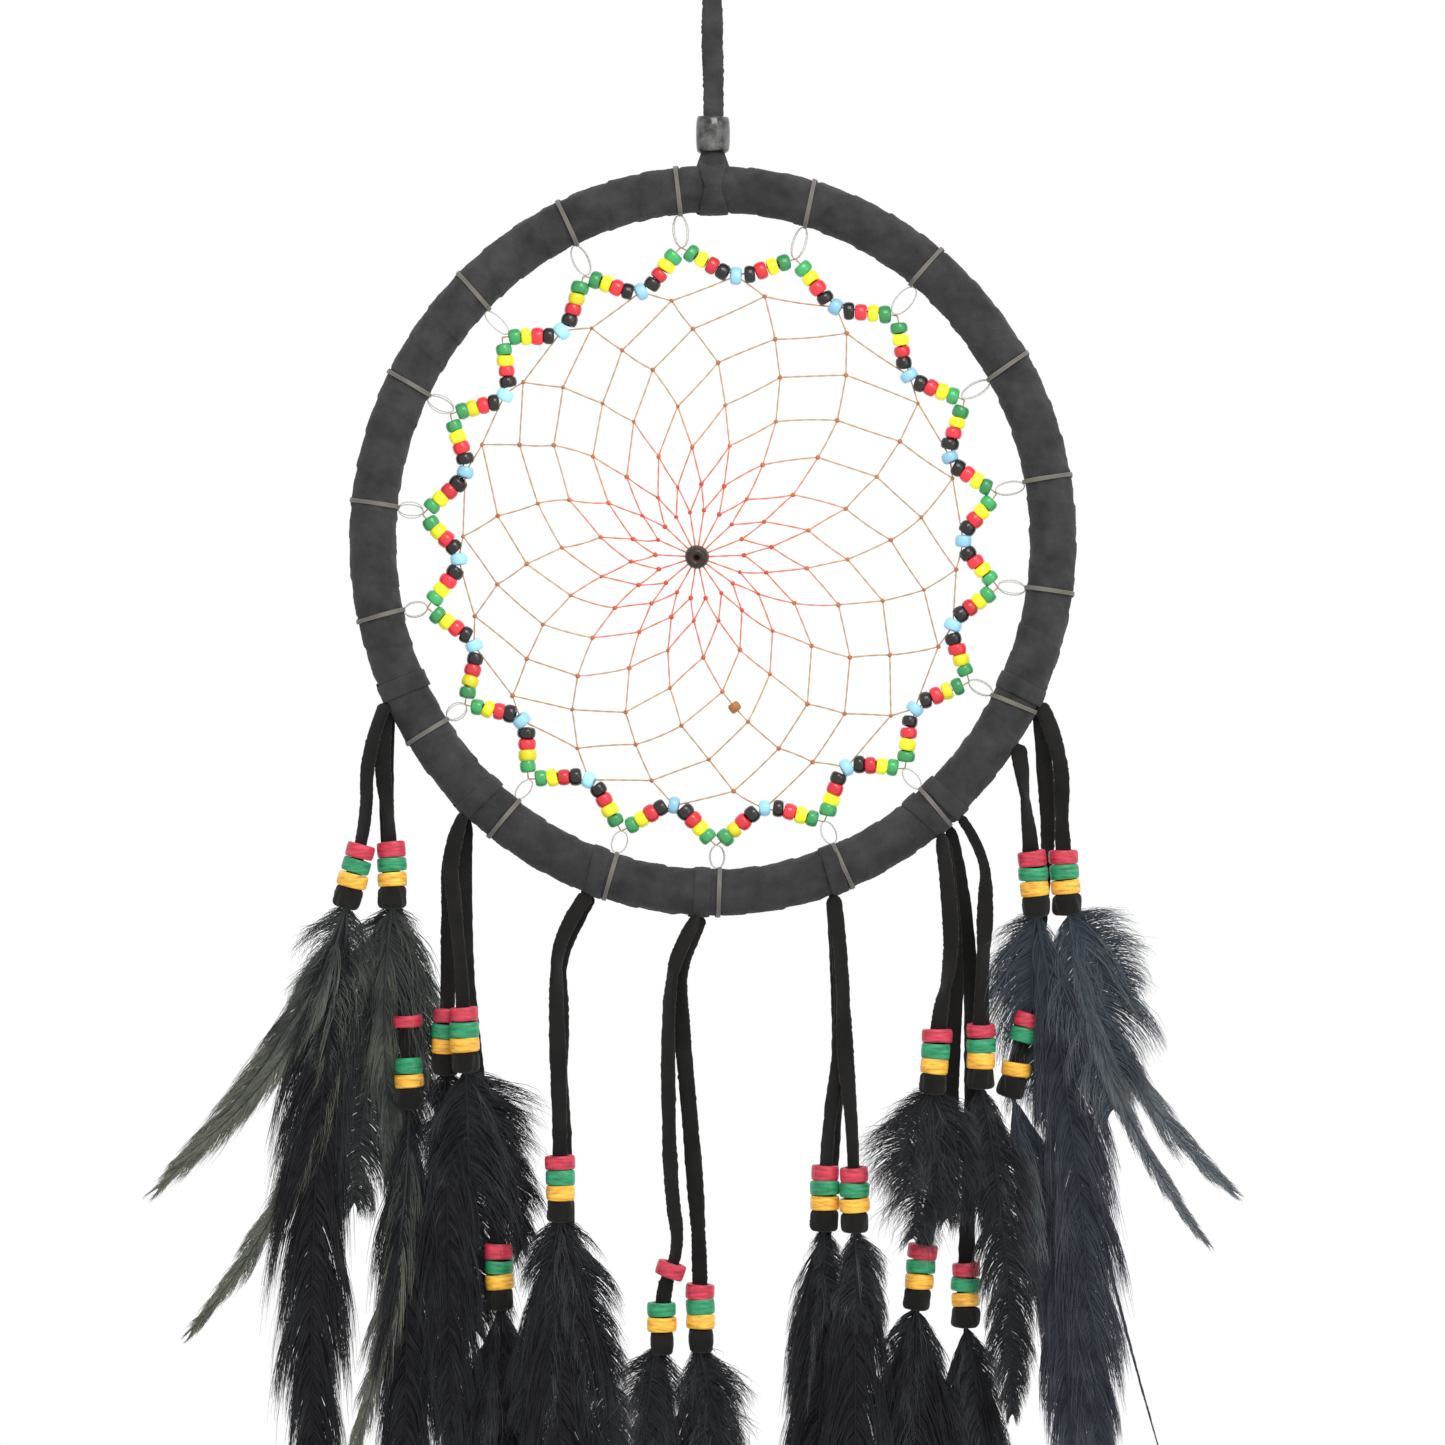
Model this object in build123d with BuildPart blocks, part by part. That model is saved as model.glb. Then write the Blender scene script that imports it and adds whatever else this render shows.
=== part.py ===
from build123d import *
import os
from math import cos, hypot, radians, sin, tan

# A dream catcher: a hoop wound in suede, with a thread web and a zigzag of glass beads,
# hung from a suede lace, with seven groups of beaded laces and feathers below it.
# +X is right, +Y is to the back and +Z is up. The origin is the inside top of the hanging
# loop, where the nail or hook bears. All sizes are millimetres.

# Hoop: an oval of four tangent arcs, a little taller than it is wide.
HOOP_CENTRE_Z = -170.0
HOOP_HALF_WIDTH = 85.0
HOOP_HALF_HEIGHT = 87.9
CORE_RADIUS = 4.5
WRAP_INNER_RADIUS = 4.55
WRAP_RADIUS = 6.0

# Threads that bind the bead string to the hoop, by the direction that each faces.
BINDING_ANGLES = (96, 116, 136, 154, 174, 192, 212, 231, 252, 271, 293, 312, 333, 352, 10, 29, 50, 73)
BINDING_THREAD_RADIUS = 0.4
BINDING_CLEARANCE = 0.05
LOOP_CLEARANCE = 0.15
LOOP_END_CLEARANCE = 0.35

# Zigzag of seed beads: outer turns on one oval, inner turns set by the length of a leg.
BEAD_RADIUS = 2.0
BEAD_LENGTH = 2.6
BEAD_ROUNDING = 0.95
BEAD_BORE_RADIUS = 0.5
OUTER_TURN_CENTRE = (-0.5, -171.2)
OUTER_TURN_HALF_WIDTH = 72.5
OUTER_TURN_HALF_HEIGHT = 75.0
LEG_LENGTH = 13.4
LEG_GROWTH = 0.3
USUAL_HALF_CHORD = 12.8
MOUTH_OFFSET = 1.8
FIRST_BEAD = 3.12
LAST_BEAD = 1.75
BEAD_THREAD_RADIUS = 0.25
BEAD_THREAD_BEND = 0.3
TURN_CLEARANCE = 0.7

# Web: rows of knots that turn a little with each row, down to the hub bead.
HUB = (-4.0, -174.0)
HUB_BEAD_RADIUS = 3.0
WEB_ROW_RADII = (62.0, 53.8, 45.5, 36.0, 26.3, 17.5, 11.0)
WEB_FIRST_RADIUS = 65.5
WEB_START_INSET = 1.4
WEB_START_GAP = 1.7
WEB_TURN_PER_ROW = 6.0
WEB_THREAD_RADIUS = 0.3
KNOT_RADIUS = 0.6
KNOT_GAP = 0.05
ACCENT_ROW = 3
ACCENT_PLACE = 10
ACCENT_BEAD_RADIUS = 1.3
ACCENT_BEAD_LENGTH = 2.4
ACCENT_BEAD_ROUNDING = 0.5
ACCENT_BEAD_CLEARANCE = 0.1

# Suede lace, and the hanger made of it.
LACE_WIDTH = 4.0
LACE_THICKNESS = 1.5
HANGER_WIDTH = 5.2
LOOP_HALF_WIDTH = 5.0
LOOP_LACE_RADIUS = 1.5
LOOP_END_X = 1.8
LOOP_BEND = 4.9
LOOP_SHOULDER_Z = -9.0
LOOP_NECK_Z = -19.0
LOOP_KNOT_TOP_Z = -22.0
LOOP_KNOT_HEIGHT = 7.0
LOOP_KNOT_RADIUS = 4.2
LOOP_KNOT_ROUNDING = 1.9
HANGER_BEAD_Z = -68.4
HANGER_BEAD_HEIGHT = 9.0
HANGER_BEAD_RADIUS = 4.2
HANGER_BEAD_END_RADIUS = 3.4
HANGER_BEAD_BORE_RADIUS = 2.9
HOOP_KNOT_TOP_Z = -73.0
HOOP_KNOT_HEIGHT = 2.7
HOOP_KNOT_RADIUS = 3.4

# Lace hitches round the hoop, and the one that the hanger makes.
HITCH_ANGLES = (203.6, 225.1, 249.5, 267.9, 291.1, 309.9, 314.1, 335.5)
HITCH_INNER_RADIUS = 6.1
HITCH_OUTER_RADIUS = 6.9
HITCH_WIDTH = 3.4

# Stack on each lace: wooden beads over a suede binding that grips the feather quills.
WOOD_RADIUS = 3.65
WOOD_BORE_RADIUS = 2.4
WOOD_THICKNESS = 3.6
WOOD_ROUNDING = 0.9
WOOD_PITCH = 3.75
BINDING_ABOVE_END = 1.5
BINDING_BELOW_END = 3.5
BINDING_RADIUS = 3.4
BINDING_ROUNDING = 0.7
QUILL_BELOW_END = 0.4
QUILL_WIDTH = 1.0
BLADE_BELOW_BINDING = 2.0
FEATHER_THICKNESS = 0.6
FEATHER_LAYERS = (0.0, -0.8, 0.8)

# Depth of each strand in its group: two in front of the hoop's middle, two behind it.
FRONT, MIDDLE, BEHIND, BACK = -3.9, -1.5, 3.4, 5.8

# Each strand: its depth, the lace's route as (x, z) from the hitch to its end in the
# binding, the extra lace showing above the yellow and the green bead, and its feathers.
# Each feather: its tip (x, z), its width, and how far its middle bows to the right.
GROUPS = {
    1: [
        (FRONT, [(-85.2, -212.0), (-86.6, -223.0), (-86.1, -240.8), (-90.8, -258.0)], (0, 0),
         [((-97.8, -424.8), 15, -5), ((-138.2, -331.5), 8, 5), ((-130.0, -367.0), 7, 11)]),
        (MIDDLE, [(-84.4, -212.2), (-83.3, -223.4), (-80.5, -241.0), (-80.0, -258.0)], (0, 0),
         [((-92.0, -336.0), 17, -2), ((-78.6, -332.0), 13, 0)]),
        (BEHIND, [(-84.8, -212.4), (-82.6, -246.4), (-76.6, -280.0), (-76.0, -308.5)], (0, 7.5),
         [((-79.5, -424.8), 12, 0), ((-89.5, -397.0), 5, 3)]),
    ],
    2: [
        (FRONT, [(-64.4, -240.4), (-66.0, -247.6), (-64.4, -260.6), (-62.4, -281.0), (-61.7, -299.0)],
         (0, 0), [((-59.5, -368.0), 18, 0), ((-50.5, -352.0), 6, 1)]),
        (BEHIND, [(-65.2, -240.8), (-66.9, -248.2), (-65.9, -261.6), (-66.3, -281.8), (-67.0, -299.8)],
         (0, 0), [((-65.6, -396.0), 7.5, 0)]),
        (BACK, [(-64.0, -240.6), (-63.0, -266.0), (-59.2, -305.0), (-54.2, -337.2), (-53.5, -359.0)],
         (0, 0), [((-53.4, -445.0), 12.5, 0), ((-62.0, -433.0), 7, -2)]),
    ],
    3: [
        (FRONT, [(-32.0, -260.8), (-38.8, -268.2), (-39.2, -284.6), (-38.2, -310.4), (-38.0, -336.0)],
         (0, 0), [((-38.2, -430.0), 14, 0), ((-24.5, -410.0), 8, 0)]),
        (BEHIND, [(-31.6, -261.2), (-37.6, -269.0), (-38.3, -286.8), (-37.4, -320.4), (-35.8, -360.0),
                  (-35.5, -388.2)], (0, 0), [((-34.5, -490.0), 14, 0), ((-27.5, -476.0), 7, 1)]),
    ],
    4: [
        (FRONT, [(-3.8, -266.8), (-9.0, -272.2), (-11.1, -284.6), (-11.2, -309.2), (-10.4, -333.0),
                 (-8.2, -346.6), (-12.9, -357.2), (-12.7, -368.8)], (0, 6.2),
         [((-13.5, -490.0), 12, 0), ((-19.0, -436.0), 5, 0)]),
        (MIDDLE, [(-3.0, -266.9), (-7.6, -272.6), (-8.3, -286.6), (-6.0, -311.0), (-3.6, -341.0),
                  (-3.0, -368.3)], (0, 0), [((-1.0, -498.0), 16, 0), ((8.0, -462.0), 7, 1)]),
    ],
    5: [
        (FRONT, [(31.4, -261.2), (32.3, -275.0), (32.7, -296.5), (35.1, -319.0), (35.4, -339.0)], (0, 0),
         [((35.6, -428.0), 11.5, 0), ((40.4, -362.0), 4, 0.5)]),
        (MIDDLE, [(30.6, -261.0), (32.1, -274.6), (32.2, -296.0), (28.2, -319.2), (27.9, -338.7)], (0, 0),
         [((25.5, -430.0), 12, 0), ((22.0, -386.0), 4, -1)]),
        (BEHIND, [(31.2, -261.6), (31.9, -284.0), (30.4, -324.0), (25.8, -362.0), (25.0, -397.5)], (0, 0),
         [((25.0, -495.0), 12, 0), ((32.0, -478.0), 7, 1)]),
    ],
    6: [
        (FRONT, [(60.2, -246.4), (59.1, -260.0), (59.6, -274.4), (56.2, -289.3), (55.0, -304.4)], (0, 0),
         [((49.0, -349.0), 19, 0), ((58.5, -343.0), 12, 2)]),
        (MIDDLE, [(63.8, -240.9), (68.0, -247.6), (68.2, -261.0), (67.0, -283.6), (66.9, -303.2)], (0, 0),
         [((67.0, -350.0), 7, 0), ((63.5, -362.0), 6, -1)]),
        (BEHIND, [(60.8, -246.8), (61.3, -267.0), (60.2, -299.0), (58.8, -323.0), (53.2, -342.0),
                  (51.3, -358.7)], (0, 0), [((49.0, -455.0), 12.5, 0), ((56.5, -440.0), 8, 1)]),
        (BACK, [(62.4, -244.4), (64.4, -268.0), (65.0, -304.0), (63.9, -336.5), (63.3, -363.5)], (0, 0),
         [((64.0, -450.0), 12, 0), ((69.0, -425.0), 4, 0)]),
    ],
    7: [
        (FRONT, [(78.4, -222.0), (79.0, -241.1), (80.5, -260.2)], (0, 0),
         [((84.0, -313.0), 17, -1), ((96.8, -405.0), 12, 3)]),
        (MIDDLE, [(85.3, -212.0), (87.4, -222.4), (86.9, -241.2), (88.4, -259.8)], (0, 0),
         [((129.8, -332.3), 8, -7), ((103.5, -281.0), 9, 1), ((123.0, -345.0), 5, -6)]),
        (BEHIND, [(84.4, -212.4), (84.6, -237.0), (82.8, -261.5), (80.2, -284.1), (75.2, -305.5)], (5, 0),
         [((89.8, -410.0), 9, 4), ((80.5, -357.0), 4, 1)]),
    ],
}
LOOSE_BEAD_GROUP = 1
LOOSE_BEAD_STRAND = 2
TILTED_BEAD_GROUP = 4
TILTED_BEAD_STRAND = 0
BEND_SHARE = 0.45

# Measures that follow from those above.
OVAL_SHIFT = (HOOP_HALF_HEIGHT - HOOP_HALF_WIDTH) / (2 - 2**0.5)
SIDE_ARC_RADIUS = HOOP_HALF_WIDTH + OVAL_SHIFT
END_ARC_RADIUS = HOOP_HALF_HEIGHT - OVAL_SHIFT
STACK_COLOURS = ("yellow", "green", "red")
LEG_COLOURS = ("green", "yellow", "red", "black")

os.makedirs("parts", exist_ok=True)


def save(builder, name):
    """Label a finished piece and write it to its own file."""
    builder.part.label = name
    export_step(builder.part, f"parts/{name}.step")


def save_group(builders, name):
    """Write several finished pieces, which don't touch, to one file."""
    group = Compound(label=name, children=[builder.part for builder in builders])
    export_step(group, f"parts/{name}.step")


def outward(angle):
    """The direction that faces away from the hoop's middle at this angle from +X."""
    return Vector(cos(radians(angle)), 0, sin(radians(angle)))


def arc_at(angle):
    """Centre and radius of the hoop's arc that faces this way."""
    side = round(angle / 90) % 4
    shifts = ((-OVAL_SHIFT, 0), (0, OVAL_SHIFT), (OVAL_SHIFT, 0), (0, -OVAL_SHIFT))
    x, z = shifts[side]
    radius = END_ARC_RADIUS if side % 2 else SIDE_ARC_RADIUS
    return Vector(x, 0, HOOP_CENTRE_Z + z), radius


def on_hoop(angle, offset=0.0):
    """A point on the hoop's centre line, or that far outside it."""
    centre, radius = arc_at(angle)
    return centre + outward(angle) * (radius + offset)


def across_hoop(angle):
    """The plane that cuts the hoop's tube squarely, with its x axis outward."""
    return Plane(origin=on_hoop(angle), x_dir=outward(angle), z_dir=outward(angle + 90))


def in_plane(point, depth=0.0):
    """An (x, z) pair as a point at a depth."""
    return Vector(point[0], depth, point[1])


def tube_round_hoop(name, outer, inner=0.0):
    """A tube or rod that follows the hoop all the way round."""
    with BuildPart() as tube:
        for middle in (0, 90, 180, 270):
            with BuildSketch(across_hoop(middle - 45)) as section:
                Circle(outer)
                if inner:
                    Circle(inner, mode=Mode.SUBTRACT)
            turn_axis = Axis(arc_at(middle)[0], (0, -1, 0))
            revolve(section.sketch, axis=turn_axis, revolution_arc=90)
    save(tube, name)


def straight_thread(start, end, radius, start_gap=0.0, end_gap=0.0):
    """A round thread between two points, cut short of each by a gap."""
    along = (end - start).normalized()
    length = (end - start).length - start_gap - end_gap
    rod = Cylinder(radius, length, align=(Align.CENTER, Align.CENTER, Align.MIN))
    return Plane(origin=start + along * start_gap, z_dir=along) * rod


def bead_shape(radius, length, rounding, bore):
    """A bead with rounded rims and a hole along Z, centred on the origin."""
    with BuildPart() as bead:
        with BuildSketch(Plane.XZ):
            with Locations(((radius + bore) / 2, 0)):
                Rectangle(radius - bore, length)
        revolve(axis=Axis.Z)
        rims = bead.faces().sort_by(SortBy.AREA)[-1].edges().filter_by(GeomType.CIRCLE)
        fillet(rims, rounding)
    return bead.part


def bead_places(points_and_axes):
    """Where beads sit, from their centres and the directions of their holes."""
    return [Plane(origin=point, z_dir=axis).location for point, axis in points_and_axes]


# Hoop: a round core, and the suede strip that is wound over it.
tube_round_hoop("hoop_core", CORE_RADIUS)
tube_round_hoop("suede_wrap", WRAP_RADIUS, WRAP_INNER_RADIUS)

# Turns of the bead zigzag. Each inner turn hangs below the middle of its two outer turns.
outer_turns = [
    Vector(
        OUTER_TURN_CENTRE[0] + OUTER_TURN_HALF_WIDTH * cos(radians(angle)),
        0,
        OUTER_TURN_CENTRE[1] + OUTER_TURN_HALF_HEIGHT * sin(radians(angle)),
    )
    for angle in BINDING_ANGLES
]
inner_turns = []
legs = []
blue_beads = []
bead_strings = []
for place, start in enumerate(outer_turns):
    end = outer_turns[(place + 1) % len(outer_turns)]
    chord = end - start
    along = chord.normalized()
    half_chord = chord.length / 2
    inward = Vector(-along.Z, 0, along.X)
    leg = LEG_LENGTH + LEG_GROWTH * (half_chord - USUAL_HALF_CHORD)
    depth = (leg**2 - (half_chord - MOUTH_OFFSET) ** 2) ** 0.5
    turn = (start + end) * 0.5 + inward * depth
    mouths = (turn - along * MOUTH_OFFSET, turn + along * MOUTH_OFFSET)
    inner_turns.append(turn)
    blue_beads.append((turn, along))
    legs.append((start, mouths[0]))
    legs.append((end, mouths[1]))
    bead_strings.append(
        (
            start + (mouths[0] - start).normalized() * TURN_CLEARANCE,
            mouths[0],
            mouths[1],
            end + (mouths[1] - end).normalized() * TURN_CLEARANCE,
        )
    )

# Seed beads: green, yellow, red and black down each leg, and a blue one at each inner turn.
seed_bead = bead_shape(BEAD_RADIUS, BEAD_LENGTH, BEAD_ROUNDING, BEAD_BORE_RADIUS)
for order, colour in enumerate(LEG_COLOURS):
    centres = []
    for start, mouth in legs:
        along = (mouth - start).normalized()
        spacing = ((mouth - start).length - FIRST_BEAD - LAST_BEAD) / (len(LEG_COLOURS) - 1)
        centres.append((start + along * (FIRST_BEAD + order * spacing), along))
    with BuildPart() as beads:
        with Locations(*bead_places(centres)):
            add(seed_bead)
    save(beads, f"{colour}_seed_beads")

with BuildPart() as beads:
    with Locations(*bead_places(blue_beads)):
        add(seed_bead)
save(beads, "blue_seed_beads")

# String through the beads, one length from each outer turn to the next.
with BuildPart() as bead_thread:
    for points in bead_strings:
        with BuildLine() as route:
            FilletPolyline(*points, radius=BEAD_THREAD_BEND)
        with BuildSketch(Plane(origin=route.line @ 0, z_dir=route.line % 0)):
            Circle(BEAD_THREAD_RADIUS)
        sweep(path=route.line)
save(bead_thread, "bead_thread")

# Binding threads: a ring round the tube, and a small loop from it to each outer turn.
ring_radius = WRAP_RADIUS + BINDING_THREAD_RADIUS + BINDING_CLEARANCE
with BuildPart() as binding_rings:
    with Locations(*[across_hoop(angle).location for angle in BINDING_ANGLES]):
        Torus(ring_radius, BINDING_THREAD_RADIUS)
with BuildPart() as binding_loops:
    for angle, turn in zip(BINDING_ANGLES, outer_turns):
        inner_edge = on_hoop(angle, -ring_radius - 2 * BINDING_THREAD_RADIUS - LOOP_CLEARANCE)
        reach = turn - inner_edge
        loop_radius = (reach.length - BINDING_THREAD_RADIUS - LOOP_END_CLEARANCE) / 2
        centre = inner_edge + reach.normalized() * loop_radius
        with Locations(Plane(origin=centre, z_dir=(0, 1, 0)).location):
            Torus(loop_radius, BINDING_THREAD_RADIUS)
save_group([binding_rings, binding_loops], "binding_threads")

# Web: each knot joins the knot before it on its own row line and that line's next neighbour.
# The first row hangs from just inside the blue beads, so that its threads clear the black ones.
hub = in_plane(HUB)
hoop_centre = Vector(0, 0, HOOP_CENTRE_Z)
web_starts = [turn - (turn - hoop_centre).normalized() * WEB_START_INSET for turn in inner_turns]
knot_rows = [web_starts]
for row, radius in enumerate(WEB_ROW_RADII, start=1):
    centre = hub + (hoop_centre - hub) * (radius / WEB_FIRST_RADIUS)
    knots = []
    for turn in inner_turns:
        spoke = turn - hoop_centre
        direction = spoke.normalized().rotate(Axis.Y, WEB_TURN_PER_ROW * row)
        knots.append(centre + direction * radius)
    knot_rows.append(knots)

knot_gap = KNOT_RADIUS + KNOT_GAP
web_threads = []
for row, (before, knots) in enumerate(zip(knot_rows, knot_rows[1:])):
    start_gap = knot_gap if row else WEB_START_GAP
    for place, knot in enumerate(knots):
        for neighbour in (before[place], before[place - 1]):
            web_threads.append(straight_thread(neighbour, knot, WEB_THREAD_RADIUS, start_gap, knot_gap))
for knot in knot_rows[-1]:
    web_threads.append(straight_thread(hub, knot, WEB_THREAD_RADIUS, HUB_BEAD_RADIUS + KNOT_GAP, knot_gap))
with BuildPart() as web_thread:
    add(web_threads)
    with Locations(*[knot for knots in knot_rows[1:] for knot in knots]):
        Sphere(KNOT_RADIUS)
save(web_thread, "web_thread")

# Web beads: the hub, and a small one threaded on the web below it.
accent_start = knot_rows[ACCENT_ROW][ACCENT_PLACE]
accent_end = knot_rows[ACCENT_ROW + 1][ACCENT_PLACE]
accent_axis = (accent_end - accent_start).normalized()
accent_bead = bead_shape(
    ACCENT_BEAD_RADIUS,
    ACCENT_BEAD_LENGTH,
    ACCENT_BEAD_ROUNDING,
    WEB_THREAD_RADIUS + ACCENT_BEAD_CLEARANCE,
)
with BuildPart() as web_beads:
    with Locations(hub):
        Sphere(HUB_BEAD_RADIUS)
    with Locations(*bead_places([((accent_start + accent_end) * 0.5, accent_axis)])):
        add(accent_bead)
save(web_beads, "web_beads")

# Hitches: short suede collars round the hoop, where the laces hang.
with BuildPart() as lace_hitches:
    for angle in HITCH_ANGLES:
        with BuildSketch(across_hoop(angle)):
            Circle(HITCH_OUTER_RADIUS)
            Circle(HITCH_INNER_RADIUS, mode=Mode.SUBTRACT)
        extrude(amount=HITCH_WIDTH / 2, both=True)
save(lace_hitches, "lace_hitches")

# Hanger: a loop for the nail, its knot, the flat lace, the barrel bead and the knot on the hoop.
left_side = [
    (-LOOP_END_X, LOOP_KNOT_TOP_Z),
    (-LOOP_END_X, LOOP_NECK_Z),
    (-LOOP_HALF_WIDTH, LOOP_SHOULDER_Z),
    (-LOOP_HALF_WIDTH, LOOP_LACE_RADIUS),
]
loop_points = left_side + [(-x, z) for x, z in reversed(left_side)]
with BuildPart() as hanger_loop:
    with BuildLine() as route:
        FilletPolyline(*[in_plane(point) for point in loop_points], radius=LOOP_BEND)
    with BuildSketch(Plane(origin=route.line @ 0, z_dir=route.line % 0)):
        Circle(LOOP_LACE_RADIUS)
    sweep(path=route.line)
save(hanger_loop, "hanger_loop")

with BuildPart() as loop_knot:
    with Locations((0, 0, LOOP_KNOT_TOP_Z - LOOP_KNOT_HEIGHT / 2)):
        Cylinder(LOOP_KNOT_RADIUS, LOOP_KNOT_HEIGHT)
    fillet(loop_knot.edges().filter_by(GeomType.CIRCLE), LOOP_KNOT_ROUNDING)
save(loop_knot, "loop_knot")

with BuildPart() as hanger_lace:
    with BuildSketch(Plane.XY.offset(HOOP_KNOT_TOP_Z)):
        Rectangle(HANGER_WIDTH, LACE_THICKNESS)
    extrude(amount=LOOP_KNOT_TOP_Z - LOOP_KNOT_HEIGHT - HOOP_KNOT_TOP_Z)
save(hanger_lace, "hanger_lace")

with BuildPart() as hanger_bead:
    half = HANGER_BEAD_HEIGHT / 2
    with BuildSketch(Plane.XZ):
        with BuildLine():
            Polyline(
                (HANGER_BEAD_END_RADIUS, HANGER_BEAD_Z + half),
                (HANGER_BEAD_BORE_RADIUS, HANGER_BEAD_Z + half),
                (HANGER_BEAD_BORE_RADIUS, HANGER_BEAD_Z - half),
                (HANGER_BEAD_END_RADIUS, HANGER_BEAD_Z - half),
            )
            ThreePointArc(
                (HANGER_BEAD_END_RADIUS, HANGER_BEAD_Z - half),
                (HANGER_BEAD_RADIUS, HANGER_BEAD_Z),
                (HANGER_BEAD_END_RADIUS, HANGER_BEAD_Z + half),
            )
        make_face()
    revolve(axis=Axis.Z)
save(hanger_bead, "hanger_bead")

with BuildPart() as hoop_knot:
    with Locations((0, 0, HOOP_KNOT_TOP_Z)):
        Cone(HOOP_KNOT_RADIUS, HANGER_WIDTH / 2, HOOP_KNOT_HEIGHT, align=(Align.CENTER, Align.CENTER, Align.MAX))
    with BuildSketch(across_hoop(90)):
        Circle(HITCH_OUTER_RADIUS)
        Circle(HITCH_INNER_RADIUS, mode=Mode.SUBTRACT)
    extrude(amount=HANGER_WIDTH / 2, both=True)
save(hoop_knot, "hoop_knot")


def corner_radii(points):
    """A bend for each corner of a route, as easy as its two runs allow."""
    radii = []
    for before, corner, after in zip(points, points[1:], points[2:]):
        first = Vector(corner[0] - before[0], corner[1] - before[1])
        second = Vector(after[0] - corner[0], after[1] - corner[1])
        half_turn = radians(first.get_angle(second)) / 2
        radii.append(BEND_SHARE * min(first.length, second.length) / tan(half_turn))
    return radii


def lace_sketch(route, depth):
    """The front outline of a flat lace that follows a route."""
    with BuildSketch(Plane.XZ.offset(-depth)) as outline:
        with BuildLine():
            FilletPolyline(*route, radius=corner_radii(route))
        trace(line_width=LACE_WIDTH)
    return outline.sketch


def stack_axis(route):
    """The direction up the last run of a lace, which the beads sit on."""
    top, end = route[-2], route[-1]
    length = hypot(top[0] - end[0], top[1] - end[1])
    return Vector((top[0] - end[0]) / length, 0, (top[1] - end[1]) / length)


def stack_places(strand):
    """Centre and axis of the yellow, green and red bead of a strand."""
    depth, route, gaps, _ = strand
    end = in_plane(route[-1], depth)
    up = stack_axis(route)
    height = BINDING_ABOVE_END + WOOD_PITCH / 2
    places = [(end + up * height, up)]
    for gap in gaps:
        height += WOOD_PITCH + gap
        places.append((end + up * height, up))
    return places


def tilted_bead_place(strand):
    """Centre and axis of a bead that rides on the sloping run above the last one."""
    depth, route, _, _ = strand
    above = in_plane(route[-3], depth)
    below = in_plane(route[-2], depth)
    return (above + below) * 0.5, (above - below).normalized()


def feather_sketch(strand, feather, layer):
    """Front outline of one feather: a quill up in the binding, and a blade of two arcs."""
    depth, route, _, _ = strand
    tip, width, bow = feather
    up = stack_axis(route)
    end = in_plane(route[-1])
    quill_top = end - up * QUILL_BELOW_END
    base = end - up * (BINDING_BELOW_END + BLADE_BELOW_BINDING)
    point = in_plane(tip)
    along = (point - base).normalized()
    right = Vector(-along.Z, 0, along.X)
    middle = (base + point) * 0.5 + right * bow
    left_side = middle - right * (width / 2)
    right_side = middle + right * (width / 2)
    flat = [(v.X, v.Z) for v in (base, left_side, point, right_side, quill_top)]
    with BuildSketch(Plane.XZ.offset(-depth - layer)) as outline:
        with BuildLine():
            ThreePointArc(flat[0], flat[1], flat[2])
            ThreePointArc(flat[2], flat[3], flat[0])
        make_face()
        with BuildLine():
            quill_end = base + along * (QUILL_WIDTH * 2)
            Polyline(flat[4], flat[0], (quill_end.X, quill_end.Z))
        trace(line_width=QUILL_WIDTH)
    return outline.sketch


wood_bead = bead_shape(WOOD_RADIUS, WOOD_THICKNESS, WOOD_ROUNDING, WOOD_BORE_RADIUS)
quill_binding = bead_shape(
    BINDING_RADIUS, BINDING_ABOVE_END + BINDING_BELOW_END, BINDING_ROUNDING, WOOD_BORE_RADIUS
)
for number, strands in GROUPS.items():
    with BuildPart() as laces:
        for depth, route, _, _ in strands:
            extrude(lace_sketch(route, depth), amount=LACE_THICKNESS / 2, both=True)
    save(laces, f"laces_{number}")

    places = [stack_places(strand) for strand in strands]
    if number == TILTED_BEAD_GROUP:
        red_place = STACK_COLOURS.index("red")
        places[TILTED_BEAD_STRAND][red_place] = tilted_bead_place(strands[TILTED_BEAD_STRAND])
    for order, colour in enumerate(STACK_COLOURS):
        chosen = [place[order] for place in places]
        if number == LOOSE_BEAD_GROUP and colour == "red":
            loose = chosen.pop(LOOSE_BEAD_STRAND)
            with BuildPart() as loose_bead:
                with Locations(*bead_places([loose])):
                    add(wood_bead)
            save(loose_bead, "loose_red_bead")
        with BuildPart() as wood_beads:
            with Locations(*bead_places(chosen)):
                add(wood_bead)
        save(wood_beads, f"{colour}_wood_beads_{number}")

    drop = (BINDING_BELOW_END - BINDING_ABOVE_END) / 2
    sleeves = []
    for depth, route, _, _ in strands:
        up = stack_axis(route)
        sleeves.append((in_plane(route[-1], depth) - up * drop, up))
    with BuildPart() as bindings:
        with Locations(*bead_places(sleeves)):
            add(quill_binding)
    save(bindings, f"quill_bindings_{number}")

    with BuildPart() as feathers:
        for strand in strands:
            for feather, layer in zip(strand[3], FEATHER_LAYERS):
                blade = feather_sketch(strand, feather, layer)
                extrude(blade, amount=FEATHER_THICKNESS / 2, both=True)
    save(feathers, f"feathers_{number}")

    for place, (depth, route, _, _) in enumerate(strands, start=1):
        runs = [hypot(b[0] - a[0], b[1] - a[1]) for a, b in zip(route, route[1:])]
        bends = ", ".join(f"{radius:.0f}" for radius in corner_radii(route))
        print(f"lace {number}.{place}: {sum(runs):.0f} mm along its runs, bends of {bends} mm")
    whole = sum(hypot(b[0] - a[0], b[1] - a[1]) for s in strands for a, b in zip(s[1], s[1][1:]))
    share = laces.part.volume / (whole * LACE_WIDTH * LACE_THICKNESS)
    print(f"laces {number}: volume is {share:.3f} of section times runs")
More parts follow.
